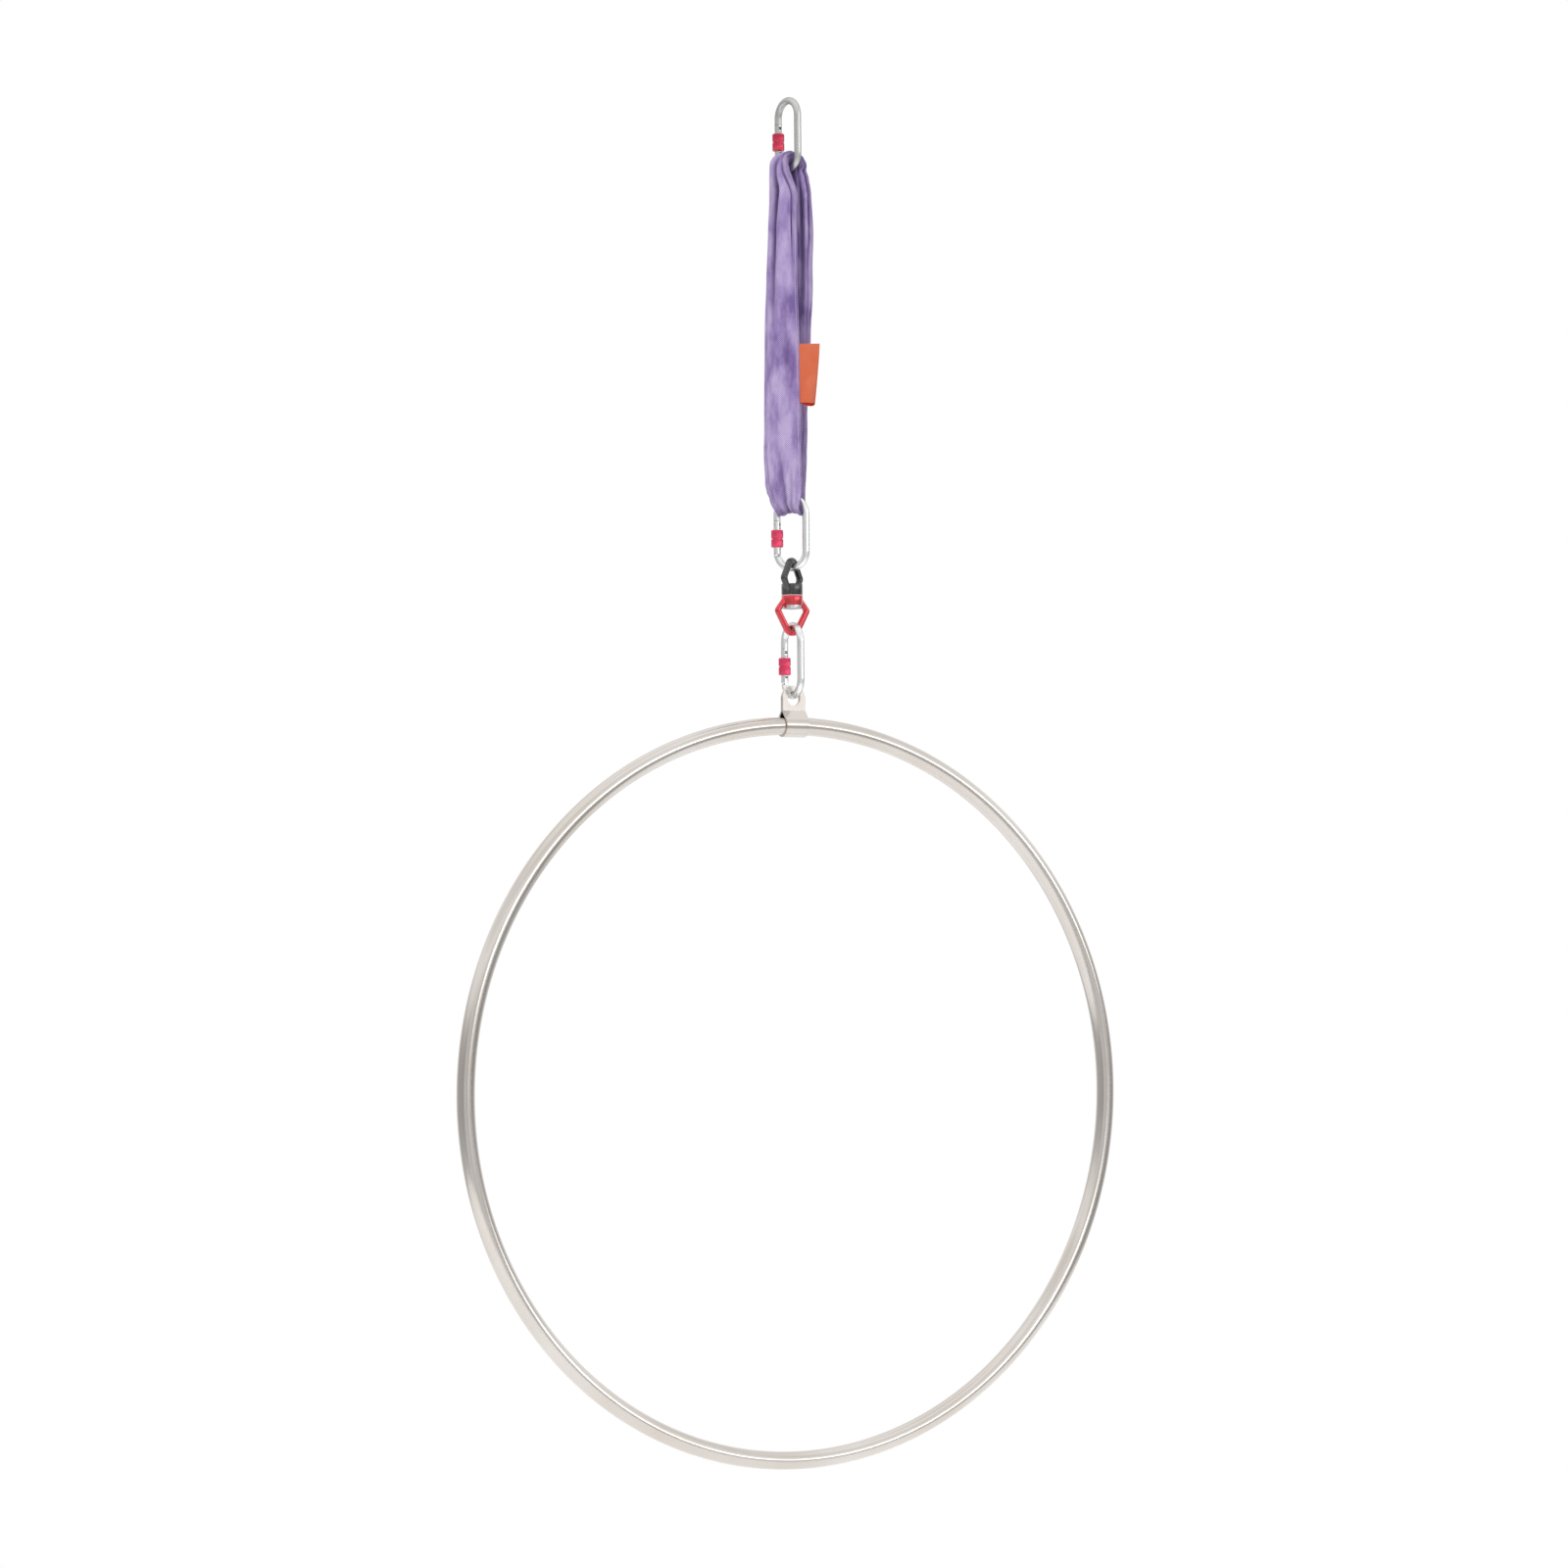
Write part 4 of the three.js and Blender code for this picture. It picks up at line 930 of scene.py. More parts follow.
def make_swivel(materials):
    """The two eyes with their barrels, bored for the bolt and the bearing, and the cap."""
    upper = eye_plate("swivel_upper_eye_fine", UPPER_NECK, UPPER_BARREL[1] - UPPER_BARREL[0])
    moved(upper, (0, 0, 0), math.pi, "X")
    moved(upper, (0, 0, UPPER_CROWN), math.radians(CARABINERS["middle"][1] + 90))
    joined(upper, barrel(*UPPER_BARREL))
    foot = UPPER_BARREL[0]
    cut(upper, plug(BOLT_HOLE_RADIUS, foot - OVERCUT, foot + BOLT_HOLE_DEPTH, BOLT_HOLE_SIDES))
    lower = moved(eye_plate("swivel_lower_eye_fine", LOWER_NECK, LOWER_BARREL[1] - LOWER_BARREL[0]),
                  (0, 0, LOWER_CROWN))
    joined(lower, barrel(*LOWER_BARREL))
    foot, top = LOWER_BARREL[0] - OVERCUT, LOWER_BARREL[1] + OVERCUT
    pocket_top = LOWER_BARREL[0] + POCKET_DEPTH
    cut(lower, turned("pocket", [(0, foot), (POCKET_RADIUS, foot), (POCKET_RADIUS, pocket_top),
                                 (THROAT_RADIUS, pocket_top), (THROAT_RADIUS, top), (0, top)],
                       POCKET_SIDES))
    make_cap(materials)
    for piece, side, colour in ((upper, "upper", "black"), (lower, "lower", "red")):
        smooth(piece, EYE_CRISP)
        body = "swivel_" + side
        dressed(piece, materials[colour], body + "_eye", body)
    bare_rim(lower, materials["bright_steel"])


# The ring.
def hoop_tab():
    """The strap: wrapped round the tube, its two ears meeting above and drilled."""
    inner = TUBE_RADIUS + TAB_FIT
    outer = inner + TAB_THICKNESS
    seam = TAB_SEAM / 2
    ear = seam + TAB_THICKNESS
    half = TAB_WIDTH / 2
    top = TAB_HOLE_RISE + half
    meet = math.hypot(seam, TAB_BEND_HEIGHT)
    turn = math.atan2(TAB_BEND_HEIGHT, seam) - math.acos(inner / meet)
    slope = (outer * math.cos(turn) - ear) / math.sin(turn)
    outer_bend = outer * math.sin(turn) + slope * math.cos(turn)
    inside = [(inner * math.cos(angle), inner * math.sin(angle))
              for angle in np.linspace(turn, -math.pi - turn, WRAP_POINTS)]
    outside = [(outer * math.cos(angle), outer * math.sin(angle))
               for angle in np.linspace(-math.pi - turn, turn, WRAP_POINTS)]
    outline = [(ear, top), (seam, top), (seam, TAB_BEND_HEIGHT)] + inside
    outline += [(-seam, TAB_BEND_HEIGHT), (-seam, top), (-ear, top), (-ear, outer_bend)] + outside
    outline += [(ear, outer_bend)]
    strap = loft("hoop_tab_fine", [[(x, y, z) for y, z in outline] for x in (-half, half)])
    reach = outer + OVERCUT
    corner = half - TAB_FOOT_ROUND
    foot = -outer - TAB_FOOT_ROUND
    feet = [(side * corner, foot, TAB_FOOT_ROUND) for side in (1, -1)]
    face = belt([feet[0], (0, TAB_HOLE_RISE, half), feet[1]], TAB_CORNER_STEPS)
    combine(strap, loft("mask", [[(x, y, z) for x, z in face] for y in (-reach, reach)]), "INTERSECT")
    hole = plug(TAB_HOLE_RADIUS, -reach, reach, TAB_HOLE_SIDES)
    cut(strap, moved(hole, (0, 0, TAB_HOLE_RISE), math.pi / 2, "X"))
    return softened(moved(strap, (0, 0, TUBE_AXIS)), FINE_SOFTENING, TAB_BEND_ANGLE)


def make_hoop(materials):
    """The bent tube and the strap tab round it."""
    half = TUBE_JOINT_GAP / 2 / HOOP_RADIUS
    turns = np.linspace(half, 2 * math.pi - half, TUBE_STATIONS)
    centres = [(HOOP_RADIUS * math.sin(turn), 0, HOOP_CENTRE + HOOP_RADIUS * math.cos(turn))
               for turn in turns]
    tangents = [(math.cos(turn), 0, -math.sin(turn)) for turn in turns]
    rings = tube_rings(centres, tangents, TUBE_RADIUS, TUBE_SIDES)
    tube = loft("hoop_tube_fine", rings, uv_sizes=(2 * math.pi * TUBE_RADIUS, 2 * math.pi * HOOP_RADIUS))
    for piece, node in ((tube, "hoop_tube"), (hoop_tab(), "hoop_tab")):
        dressed(piece, materials["satin_steel"], node, "hoop")


# Camera, light and floor.
def make_camera():
    """The photograph's camera."""
    yaw, pitch, roll = (math.radians(value) for value in (CAMERA_YAW, CAMERA_PITCH, CAMERA_ROLL))
    forward = Vector((math.sin(yaw) * math.cos(pitch), math.cos(yaw) * math.cos(pitch), math.sin(pitch)))
    right = Vector((math.cos(yaw), -math.sin(yaw), 0))
    up = right.cross(forward)
    rolled_right = right * math.cos(roll) + up * math.sin(roll)
    rolled_up = up * math.cos(roll) - right * math.sin(roll)
    camera = bpy.data.cameras.new("camera")
    camera.lens = CAMERA_LENS
    camera.sensor_width = SENSOR
    camera.clip_end = CAMERA_REACH
    holder = bpy.data.objects.new("camera", camera)
    rotation = Matrix((rolled_right, rolled_up, -forward)).transposed().to_4x4()
    holder.matrix_world = Matrix.Translation(CAMERA_PLACE) @ rotation
    bpy.context.scene.collection.objects.link(holder)
    bpy.context.scene.camera = holder


def make_world():
    """A white studio. Straight on it is white; the metal sees its panels, gaps and strip lamp."""
    world = bpy.data.worlds.new("studio")
    bpy.context.scene.world = world
    world.use_nodes = True
    tree = world.node_tree
    background = tree.nodes["Background"]
    rays = add_node(tree, "LightPath").outputs
    seen = math_node(tree, "MAXIMUM", rays["Is Camera Ray"], rays["Is Transmission Ray"])
    direction = add_node(tree, "TexCoord").outputs["Generated"]
    yaw = math.radians(CAMERA_YAW)
    product = {"operation": "DOT_PRODUCT"}
    right, near = (
        add_node(tree, "VectorMath", product, **{"0": direction, "1": axis}).outputs["Value"]
        for axis in ((math.cos(yaw), -math.sin(yaw), 0), (-math.sin(yaw), -math.cos(yaw), 0)))
    bearing = math_node(tree, "ARCTAN2", right, near)
    height = add_node(tree, "SeparateXYZ", Vector=direction).outputs[2]
    horizon = ramp(tree, math_node(tree, "MULTIPLY_ADD", bearing, 0.5 / math.pi, 0.5), [
        (0.5 + degrees / 360, grey(level / LEVEL_STEP)) for degrees, level in HORIZON_LEVELS])
    heights = ramp(tree, math_node(tree, "MULTIPLY_ADD", height, 0.5, 0.5), [
        (0.5 + 0.5 * sine, grey(level / LEVEL_STEP)) for sine, level in HEIGHT_LEVELS])
    away = smooth_range(tree, math_node(tree, "ABSOLUTE", height), *HORIZON_REACH)
    studio = mix_colour(tree, away, horizon, heights)
    aside = math_node(tree, "ABSOLUTE", math_node(tree, "SUBTRACT", bearing, math.radians(STRIP_BEARING)))
    spread = math.radians(STRIP_SPREAD)
    within = smooth_range(tree, aside, spread, STRIP_CORE_SHARE * spread)
    apart = math_node(tree, "ABSOLUTE", math_node(tree, "SUBTRACT", height, STRIP_HEIGHT))
    strip = math_node(tree, "MULTIPLY", within, smooth_range(tree, apart, STRIP_DEPTH, STRIP_DEPTH / 2))
    lit = mix_colour(tree, strip, studio, grey(STRIP_LEVEL))
    glossy = mix_colour(tree, rays["Is Glossy Ray"], grey(AMBIENT_LEVEL), lit)
    tree.links.new(mix_colour(tree, seen, glossy, grey(1.0)), background.inputs["Color"])
    gain = math_node(tree, "MULTIPLY", rays["Is Glossy Ray"], math_node(tree, "SUBTRACT", 1.0, seen))
    tree.links.new(math_node(tree, "MULTIPLY_ADD", gain, LEVEL_STEP - 1, 1.0), background.inputs["Strength"])


def make_floor():
    """A plain pale floor, white to the camera but for the object's shadow."""
    material = bpy.data.materials.new("floor")
    material.use_nodes = True
    tree = material.node_tree
    tree.nodes.clear()
    output = add_node(tree, "OutputMaterial")
    rays = add_node(tree, "LightPath").outputs
    seen = math_node(tree, "MAXIMUM", rays["Is Camera Ray"], rays["Is Transmission Ray"])
    shown = math_node(tree, "MAXIMUM", seen, rays["Is Glossy Ray"])
    strength = math_node(tree, "MULTIPLY", shown, FLOOR_GLOW)
    pale = add_node(tree, "BsdfDiffuse", Color=grey(FLOOR_TONE))
    glow = add_node(tree, "Emission", Color=grey(1.0), Strength=strength)
    both = add_node(tree, "AddShader", **{"0": pale.outputs[0], "1": glow.outputs[0]})
    tree.links.new(both.outputs[0], output.inputs["Surface"])
    turns = np.linspace(0, 2 * math.pi, FLOOR_SIDES, endpoint=False)
    points = [(FLOOR_RADIUS * math.cos(turn), FLOOR_RADIUS * math.sin(turn), FLOOR_LEVEL) for turn in turns]
    mesh_object("floor", points, [tuple(range(len(points)))], material)


def make_lamps():
    """Soft lamps, which the metal doesn't mirror."""
    for name, (place, size, power) in LAMPS.items():
        lamp = bpy.data.lights.new(name, "AREA")
        lamp.shape = "RECTANGLE"
        lamp.size, lamp.size_y = size
        lamp.energy = power
        holder = bpy.data.objects.new(name, lamp)
        holder.location = place
        holder.visible_glossy = False
        holder.rotation_euler = (Vector(LAMP_TARGET) - Vector(place)).to_track_quat("-Z", "Y").to_euler()
        bpy.context.scene.collection.objects.link(holder)


# The sling.
def bearing_vector(degrees):
    """A level direction."""
    angle = math.radians(degrees)
    return np.array(Vector((math.cos(angle), math.sin(angle), 0)))


def eased(low, high, value):
    """0 below low and 1 above high, smooth between."""
    share = min(max((value - low) / (high - low), 0), 1)
    return share * share * (3 - 2 * share)


def between(table, height, column):
    """A column of a table of [height in millimetres, ...] rows, smooth between its rows."""
    height = height / MM
    if height >= table[0][0]:
        return table[0][column]
    for upper, lower in zip(table, table[1:]):
        if height >= lower[0]:
            share = eased(0, 1, (upper[0] - height) / (upper[0] - lower[0]))
            return upper[column] + share * (lower[column] - upper[column])
    return table[-1][column]


def sling_angle(height):
    """The bearing of the sling's width, which turns soon below the upper carabiner."""
    turn = eased(0, TURNED_BY, SLING_TOP - height)
    return CARABINERS["anchor"][1] + turn * (CARABINERS["middle"][1] - CARABINERS["anchor"][1])


def strand_station(height, strand):
    """How the sling lies at a height on one strand."""
    table = FRONT_SHAPE if strand == FRONT else BACK_SHAPE
    width, shift, offset, out, within = (between(table, height, column) * MM for column in range(1, 6))
    from_end = min(SLING_TOP - height, height - SLING_BOTTOM)
    return {
        "axis": height, "height": height, "angle": sling_angle(height), "strand": strand,
        "turn": 0 if strand == BACK else math.pi,
        "width": width, "shift": shift, "offset": offset, "out": out, "in": within,
        "bend": 1 - eased(0, BEND_REACH, from_end), "gather": 1 - eased(0, PLEAT_REACH, from_end),
    }


def bight_station(axis, share, start):
    """How the sling lies part of the way round a bight, from one strand to the other."""
    top = axis == SLING_TOP
    ends = (strand_station(axis, BACK), strand_station(axis, FRONT))
    first, last = ends if top else ends[::-1]
    narrow = BIGHT_WIDTH / 2 + (0 if top else BOTTOM_SPREAD)
    thick = (TOP_BIGHT if top else BOTTOM_BIGHT) / 2
    middle = {"width": narrow, "shift": 0, "offset": BEARING_RADIUS + thick, "out": thick, "in": thick}
    end = first if share < 0.5 else last
    waist = eased(0, 0.5, min(share, 1 - share))
    station = {"axis": axis, "angle": first["angle"], "turn": start + share * math.pi, "bend": 1, "gather": 1,
               "strand": end["strand"]}
    for key, value in middle.items():
        station[key] = end[key] + waist * (value - end[key])
    station["height"] = axis + math.sin(station["turn"]) * (station["offset"] + station["out"])
    return station


def arc_lift(along):
    """How far a carabiner's arc stands in from its lowest point, off its middle."""
    inner = ARC_RADIUS - BAR_RADIUS
    reach = np.minimum(np.abs(along), ARC_LIMIT)
    return inner - np.sqrt(inner * inner - reach * reach)


def crease_depth(station, turns):
    """How far the creases and the gathers pull the surface in, round one section."""
    pull = np.zeros(len(turns))
    height = station["height"]
    for strand, path, width in CREASES:
        begins, ends = path[0][0] + CREASE_RUNOUT, path[-1][0] - CREASE_RUNOUT
        if strand != station["strand"] or not ends < height / MM < begins:
            continue
        centre = math.radians(between(path, height, 1))
        apart = np.abs((turns - centre + math.pi) % (2 * math.pi) - math.pi) / math.radians(width)
        bank = BANK_SHARE * np.exp(-(apart - BANK_PLACE) ** 2)
        pull += between(path, height, 2) * MM * (np.exp(-apart ** 2) - bank)
    swing = PLEAT_SWING * math.sin(height / PLEAT_WAVE)
    pull += station["gather"] * PLEAT_DEPTH * (0.5 + 0.5 * np.cos(PLEATS * turns + swing))
    return pull


def sling_ring(station, creased=True):
    """One ring of points round the sling."""
    turns = np.linspace(0, 2 * math.pi, SECTION_POINTS, endpoint=False)
    across = bearing_vector(station["angle"])
    outward = bearing_vector(station["angle"] + 90) * math.cos(station["turn"])
    outward[2] = math.sin(station["turn"])
    pull = np.zeros(len(turns))
    if creased:
        seam = np.exp(-((((turns + math.pi) % (2 * math.pi)) - math.pi) / math.radians(SEAM_WIDTH)) ** 2)
        pull = crease_depth(station, turns) - SEAM_HEIGHT * seam
    swell = np.where(np.sin(turns) >= 0, station["out"], station["in"])
    along = station["shift"] + (station["width"] - pull * np.abs(np.cos(turns))) * np.cos(turns)
    rise = np.sign(np.sin(turns)) * np.abs(np.sin(turns)) ** SECTION_FULLNESS
    out = station["offset"] + (swell - pull * np.abs(np.sin(turns))) * rise
    out = out + station["bend"] * arc_lift(along) * (1 - np.abs(math.cos(station["turn"])) ** 3)
    centre = np.array((0, 0, station["axis"]))
    return centre + along[:, None] * across + out[:, None] * outward


def sling_stations():
    """The stations round the loop: the upper ones from the back strand over to the front, then the lower."""
    def strand(start, end, side):
        count = max(2, round(abs(end - start) / STRAND_STEP))
        return [strand_station(height, side) for height in np.linspace(start, end, count + 1)[:-1]]

    def bight(axis, start):
        return [bight_station(axis, share, start) for share in np.linspace(0, 1, BIGHT_STATIONS + 1)[:-1]]

    upper = strand(SLING_SPLIT, SLING_TOP, BACK) + bight(SLING_TOP, 0) + strand(SLING_TOP, SLING_SPLIT, FRONT)
    lower = strand(SLING_SPLIT, SLING_BOTTOM, FRONT) + bight(SLING_BOTTOM, math.pi)
    lower += strand(SLING_BOTTOM, SLING_SPLIT, BACK)
    return upper, lower


def sling_halves(split, count):
    """Each half of the sling: its name, its rows of stations, and a carabiner's body and two heights."""
    return (
        ("upper", list(range(split + 1)), "anchor_carabiner", SLING_TOP - BLEND_LEAD,
         SLING_TOP - BLEND_REACH),
        ("lower", list(range(split, count)) + [0], "middle_carabiner", SLING_BOTTOM + BLEND_LEAD,
         SLING_BOTTOM + BLEND_REACH),
    )


def clear_of_bars(points):
    """Moves points that lie in either carabiner's bar out to its surface."""
    length = QUARTER + STRAIGHT + ARC_RADIUS * math.pi
    gap = BAR_RADIUS + BAR_GAP
    for name in ("anchor", "middle"):
        place = carabiner_place(name)
        distances = np.arange(-length, length, BAR_STEP)
        line = np.array([tuple(place @ Vector(oval_point(distance)[0])) for distance in distances])
        low, high = line[:, 2].min() - BAR_MARGIN, line[:, 2].max() + BAR_MARGIN
        for index in np.nonzero((points[:, 2] > low) & (points[:, 2] < high))[0]:
            apart = points[index] - line
            distance = np.sqrt((apart ** 2).sum(1))
            nearest = distance.argmin()
            if distance[nearest] < gap:
                points[index] = line[nearest] + apart[nearest] * gap / max(distance[nearest], LEAST)
    return points


def puckers(stations):
    """How far each point moves as the cover's cloth, a little too big for its yarn, settles over it."""
    smooth_rings = np.array([sling_ring(station, creased=False) for station in stations])
    whole = loft("sling_smooth", smooth_rings, wrap=True)
    rest = smooth_rings.reshape(-1, 3)
    rough = rest + np.random.default_rng(RANDOM_SEED).normal(0, UNEVENNESS, rest.shape)
    whole.data.vertices.foreach_set("co", rough.reshape(-1))
    held = whole.vertex_groups.new(name="held")
    for row, station in enumerate(stations):
        points = list(range(row * SECTION_POINTS, (row + 1) * SECTION_POINTS))
        held.add(points, HOLD_LOOSE + (1 - HOLD_LOOSE) * station["bend"], "REPLACE")
    cloth = whole.modifiers.new("cloth", "CLOTH")
    settings = cloth.settings
    settings.quality = CLOTH_STEPS
    settings.mass = CLOTH_MASS
    settings.tension_stiffness = settings.compression_stiffness = TENSION
    settings.shear_stiffness = SHEAR
    settings.bending_stiffness = BENDING
    settings.shrink_min = -SLACK
    settings.vertex_group_mass = "held"
    settings.pin_stiffness = HOLD_STIFFNESS
    cloth.collision_settings.use_collision = False
    cloth.collision_settings.use_self_collision = False
    cloth.point_cache.frame_start = 1
    cloth.point_cache.frame_end = SETTLE_FRAMES
    scene = bpy.context.scene
    for frame in range(1, SETTLE_FRAMES + 1):
        scene.frame_set(frame)
    settled = whole.evaluated_get(bpy.context.evaluated_depsgraph_get())
    shift = np.array([tuple(vertex.co) for vertex in settled.data.vertices]) - rest
    scene.frame_set(1)
    bpy.data.objects.remove(whole)
    size = np.linalg.norm(shift, axis=1, keepdims=True)
    shift *= np.minimum(1, PUCKER_MOST / np.maximum(size, TINY))
    low, high = (share * PLEAT_REACH for share in PUCKER_SHARES)
    free = np.array([eased(low, high, min(SLING_TOP - station["height"], station["height"] - SLING_BOTTOM))
                     for station in stations])
    return shift * np.repeat(free, SECTION_POINTS)[:, None]


def open_tube(name, rings, normals, material, first_row, all_rows):
    """A tube through rings, open at both ends, with normals that let two halves meet without a line."""
    rows, sides = rings.shape[:2]
    faces, uvs = skin(rows, sides, False, (COVER_GIRTH, COVER_LENGTH), first_row, all_rows)
    thing = mesh_object(name, rings.reshape(-1, 3), faces, material, uvs, NEVER_CRISP)
    if thing.data.polygons[0].normal.dot(Vector(normals[0][0])) < 0:
        thing.data.flip_normals()
    thing.data.normals_split_custom_set_from_vertices([tuple(normal) for normal in normals.reshape(-1, 3)])
    return thing


def stitched(name, seams, material):
    """A thread of short stitches, each from a start to an end with the cover's normal there."""
    points, faces = [], []
    for start, end, normal in seams:
        line = end - start
        aside = np.cross(line, normal)
        aside = aside / max(np.linalg.norm(aside), TINY) * STITCH_WIDTH / 2
        up = normal * STITCH_WIDTH / 2
        base = len(points)
        for share, size in STITCH_SHARES:
            middle = start + share * line
            points += [middle + aside * size, middle + up * size, middle - aside * size, middle - up * size]
        for low in range(base, len(points) - 4, 4):
            for side in range(4):
                beside = (side + 1) % 4
                faces.append((low + side, low + beside, low + 4 + beside, low + 4 + side))
        last = len(points) - 4
        faces += [(base + 3, base + 2, base + 1, base), (last, last + 1, last + 2, last + 3)]
    thread = mesh_object(name, points, faces, material)
    face_outwards(thread)
    return thread


def seam_thread(name, rings, normals, rows, material):
    """Two rows of stitches beside the seam, lying on the cover."""
    lifted = rings + normals * STITCH_RISE
    return stitched(name, [
        (lifted[row][column], lifted[after][column], normals[row][column])
        for row, after in zip(rows[:-1], rows[1:]) for column in STITCH_COLUMNS], material)


def make_join_band(stations, rings, normals, materials):
    """The sewn band of cover round the back strand, where the cover's ends meet."""
    rows = [row for row, station in enumerate(stations)
            if station["strand"] == BACK and JOIN_LEVELS[0] < station["height"] < JOIN_LEVELS[1]]
    layers = [rings[row] + normals[row] * JOIN_THICKNESS for row in rows]
    first, last = (rings[row] - normals[row] * JOIN_THICKNESS for row in (rows[0], rows[-1]))
    length = JOIN_LEVELS[1] - JOIN_LEVELS[0]
    band = loft("sling_join_band", [first, *layers, last], uv_sizes=(COVER_GIRTH, length))
    dressed(band, materials["purple"], "sling_cover_join", "sling")
    seams = []
    for row in (rows[1], rows[-2]):
        line = rings[row] + normals[row] * (JOIN_THICKNESS + STITCH_RISE)
        seams += [(line[column], line[column + 1], normals[row][column])
                  for column in range(0, SECTION_POINTS, 2)]
    thread = stitched("sling_join_thread", seams, materials["thread"])
    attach(thread, "sling")


def yarn_station(station):
    """The yarn's place in the cover: on its inner side, clear of the creases."""
    shift = YARN_SHIFT_SHARE * station["in"]
    return dict(
        station, width=YARN_WIDTH_SHARE * station["width"], offset=station["offset"] - shift,
        out=YARN_OUT_SHARE * shift, **{"in": YARN_IN_SHARE * (station["in"] - shift)})


def make_yarn(stations, split, materials):
    """The bundle of yarn inside the cover, in the same two halves, with half as many stations and points."""
    rings = np.array([sling_ring(yarn_station(station), creased=False) for station in stations])[:, ::2]
    for name, rows, body, start, end in sling_halves(split, len(rings)):
        half = loft("sling_yarn_" + name, rings[rows[:-1:2] + rows[-1:]], materials["yarn"])
        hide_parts("sling_core")
        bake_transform(half)


def label_line(share):
    """The folded strip's middle line, out from the seam and back, at a share of its way down."""
    foot, top = LABEL_LEVELS
    height = top + share * (foot - top)
    out, aside = bearing_vector(LABEL_ANGLE), bearing_vector(LABEL_ANGLE + 90)
    station = strand_station(height, FRONT)
    to_seam = station["shift"] + station["width"] + LABEL_SEAM_SHARE * SEAM_HEIGHT
    edge = bearing_vector(station["angle"]) * to_seam
    edge = edge - bearing_vector(station["angle"] + 90) * station["offset"]
    reach = LABEL_WIDTH * (1 - LABEL_TAPER_SHARE * share ** LABEL_TAPER_POWER)
    gap, curl = (pair[0] + share * (pair[1] - pair[0]) for pair in (LABEL_GAP, LABEL_CURL))
    line = []
    for turn in np.linspace(0, 2 * math.pi, LABEL_STEPS + 1):
        along = 0.5 - 0.5 * math.cos(turn)
        side = math.sin(turn) * along ** LABEL_BULGE_POWER
        drop = (LABEL_FRONT_SHARE * along + LABEL_REAR_SHARE * max(side, 0) * share) * LABEL_WIDTH
        line.append(edge + out * reach * along + aside * (side * gap + curl * along ** 2)
                    + np.array((0, 0, height - drop)))
    return np.array(line)


def make_label(materials):
    """The orange label: a strip folded double, its ends sewn into the seam and its fold standing off."""
    outer, inner = [], []
    for share in np.linspace(0, 1, LABEL_ROWS + 1):
        line = label_line(share)
        normal = np.cross(np.gradient(line, axis=0), (0, 0, 1))
        normal *= LABEL_THICKNESS / 2 / np.linalg.norm(normal, axis=1, keepdims=True)
        outer.append(line + normal)
        inner.append(line - normal)
    width = LABEL_STEPS + 1
    base = (LABEL_ROWS + 1) * width
    faces = []
    for row in range(LABEL_ROWS):
        for step in range(LABEL_STEPS):
            first = row * width + step
            around = (first, first + 1, first + width + 1, first + width)
            faces += [around, tuple(base + corner for corner in reversed(around))]
        for near, far in ((row * width, (row + 1) * width), ((row + 2) * width - 1, (row + 1) * width - 1)):
            faces.append((near, far, base + far, base + near))
    for step in range(LABEL_STEPS):
        low = LABEL_ROWS * width + step
        faces += [(step + 1, step, base + step, base + step + 1), (low, low + 1, base + low + 1, base + low)]
    label = mesh_object("sling_label_fine", np.array(outer + inner).reshape(-1, 3), faces)
    dressed(label, materials["orange"], "sling_label", "sling")
    label.data.materials.append(materials["orange_inside"])
    for face in label.data.polygons:
        face.material_index = int(max(face.vertices) < base)
    face_outwards(label)


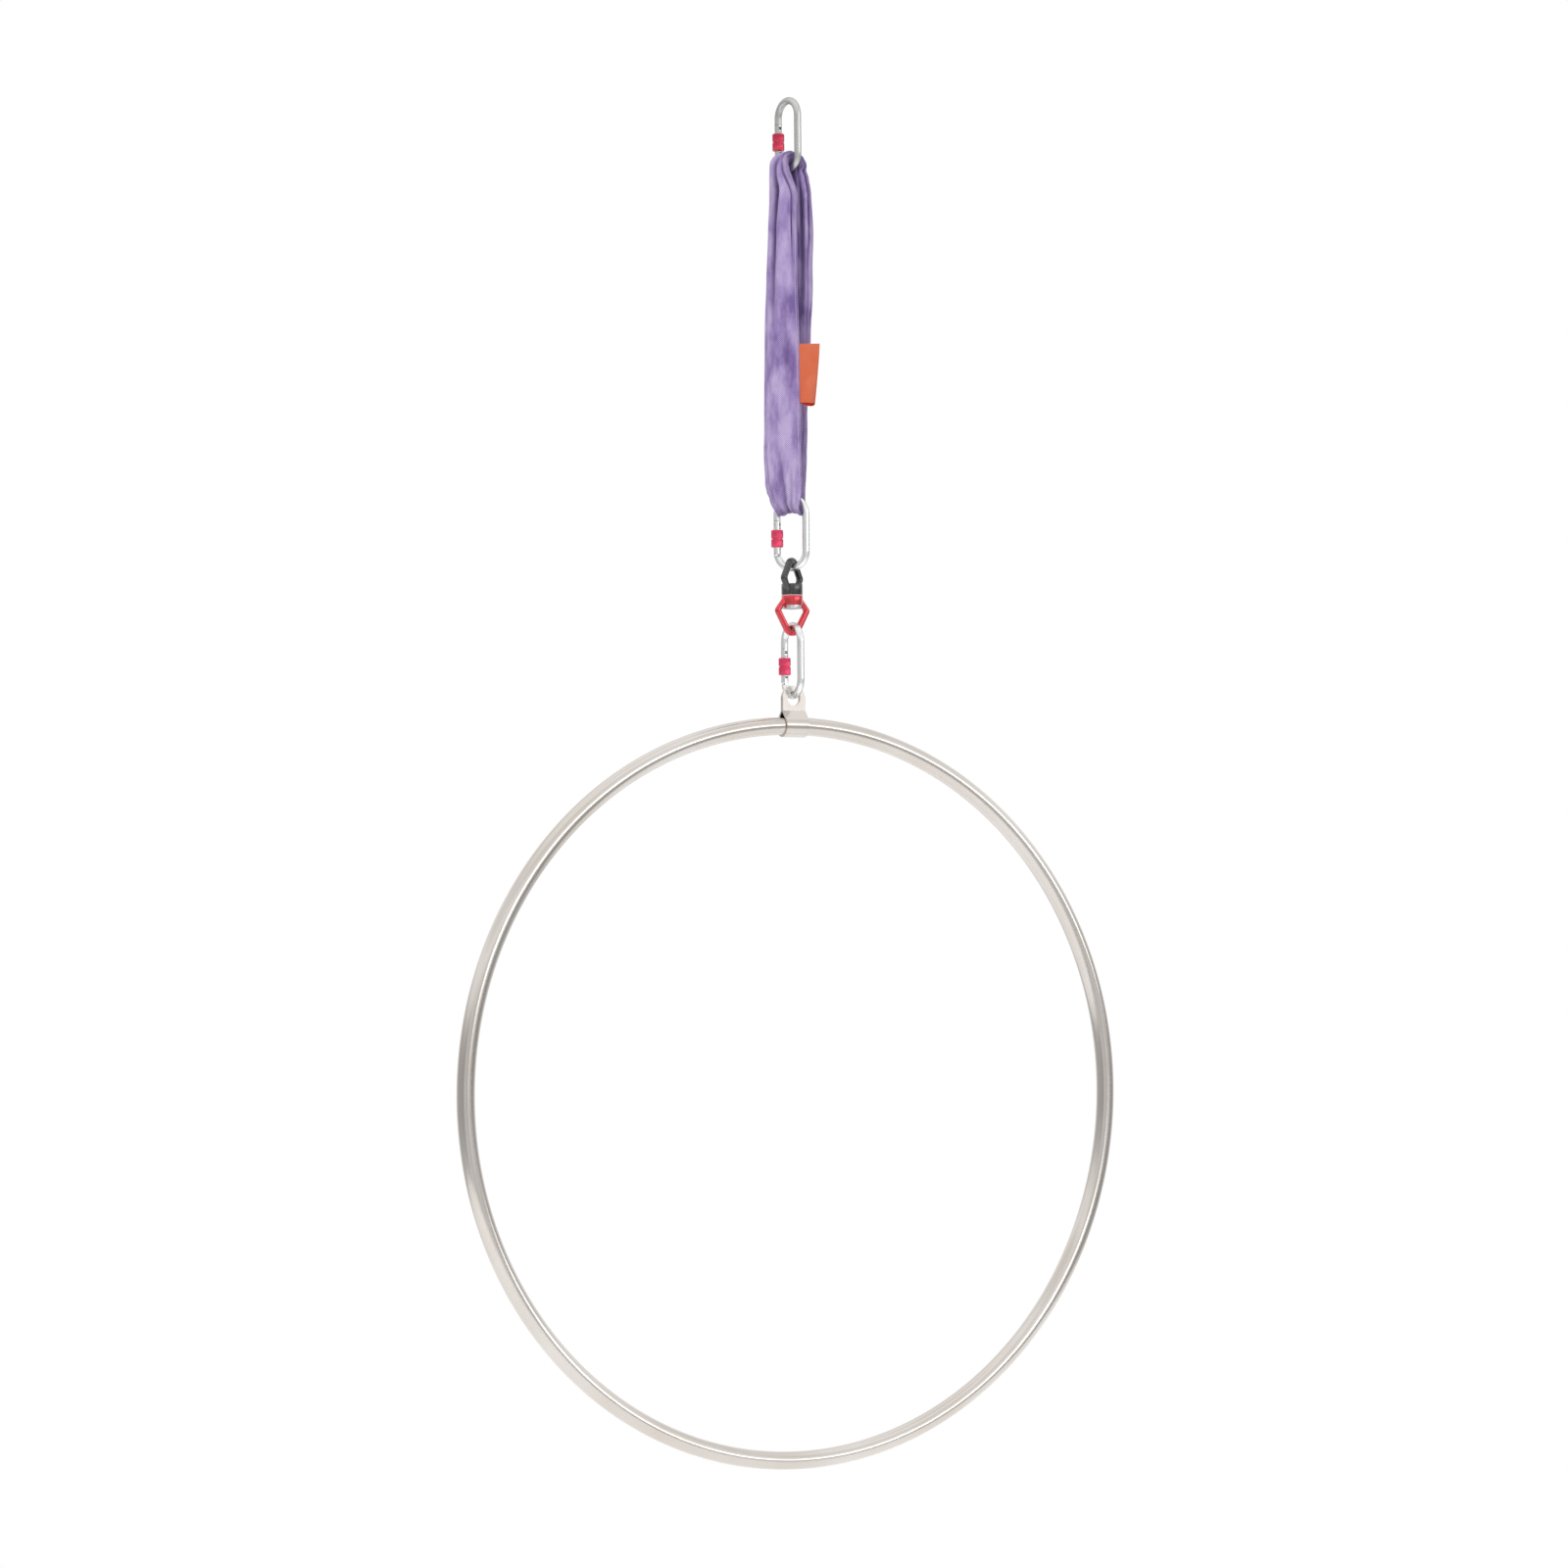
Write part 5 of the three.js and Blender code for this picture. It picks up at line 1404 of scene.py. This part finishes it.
def make_sling(materials):
    """The sling's cover in two halves, its yarn, seam stitches, join and label."""
    upper, lower = sling_stations()
    stations = upper + lower
    split, count = len(upper), len(stations)
    shape = (count, SECTION_POINTS, 3)
    points = clear_of_bars(np.concatenate([sling_ring(station) for station in stations]))
    points = clear_of_bars(points + puckers(stations))
    rings = points.reshape(shape)
    whole = loft("sling_whole", rings, wrap=True, crisp=NEVER_CRISP)
    normals = np.array([tuple(vertex.normal) for vertex in whole.data.vertices]).reshape(shape)
    bpy.data.objects.remove(whole)
    turns = np.linspace(0, 2 * math.pi, SECTION_POINTS, endpoint=False)
    # Painted shade: each point's crease depth, as a share, darkens the cover there through its fold value.
    painted_crease_shade = np.array([np.clip(crease_depth(station, turns) / CREASE_SHADE_FULL_DEPTH, 0, 1) for station in stations])
    for name, rows, body, start, end in sling_halves(split, count):
        half = open_tube("sling_cover_" + name, rings[rows], normals[rows], materials["purple"], rows[0],
                         count)
        shade = half.data.attributes.new("fold", "FLOAT", "POINT")
        shade.data.foreach_set("value", painted_crease_shade[rows].reshape(-1))
        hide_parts("sling_cover")
        thread = seam_thread("sling_seam_thread_" + name, rings, normals, rows, materials["thread"])
        for piece in (half, thread):
            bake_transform(piece)
    make_yarn(stations, split, materials)
    make_label(materials)
    make_join_band(stations, rings, normals, materials)


# What stays as it is.
def dress_hidden(materials):
    """Gives the pieces that stay as they are their metal."""
    for name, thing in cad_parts.items():
        inside = name.startswith("swivel_") and "eye" not in name or name.endswith(("plunger", "gate_spring"))
        if inside or name == "hoop_joint_ferrule":
            thing.data.materials.clear()
            thing.data.materials.append(materials["bright_steel" if inside else "satin_steel"])
            smooth(thing)


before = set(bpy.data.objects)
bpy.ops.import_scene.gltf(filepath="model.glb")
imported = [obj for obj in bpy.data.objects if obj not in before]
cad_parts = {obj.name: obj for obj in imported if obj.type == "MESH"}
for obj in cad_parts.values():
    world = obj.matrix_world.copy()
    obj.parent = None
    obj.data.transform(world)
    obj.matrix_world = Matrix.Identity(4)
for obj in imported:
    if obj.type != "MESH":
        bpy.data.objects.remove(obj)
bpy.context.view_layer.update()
bpy.context.scene.view_settings.view_transform = "Standard"
make_camera()
make_world()
make_floor()
make_lamps()
finishes = make_materials()
make_hoop(finishes)
make_carabiners(finishes)
make_swivel(finishes)
make_sling(finishes)
dress_hidden(finishes)
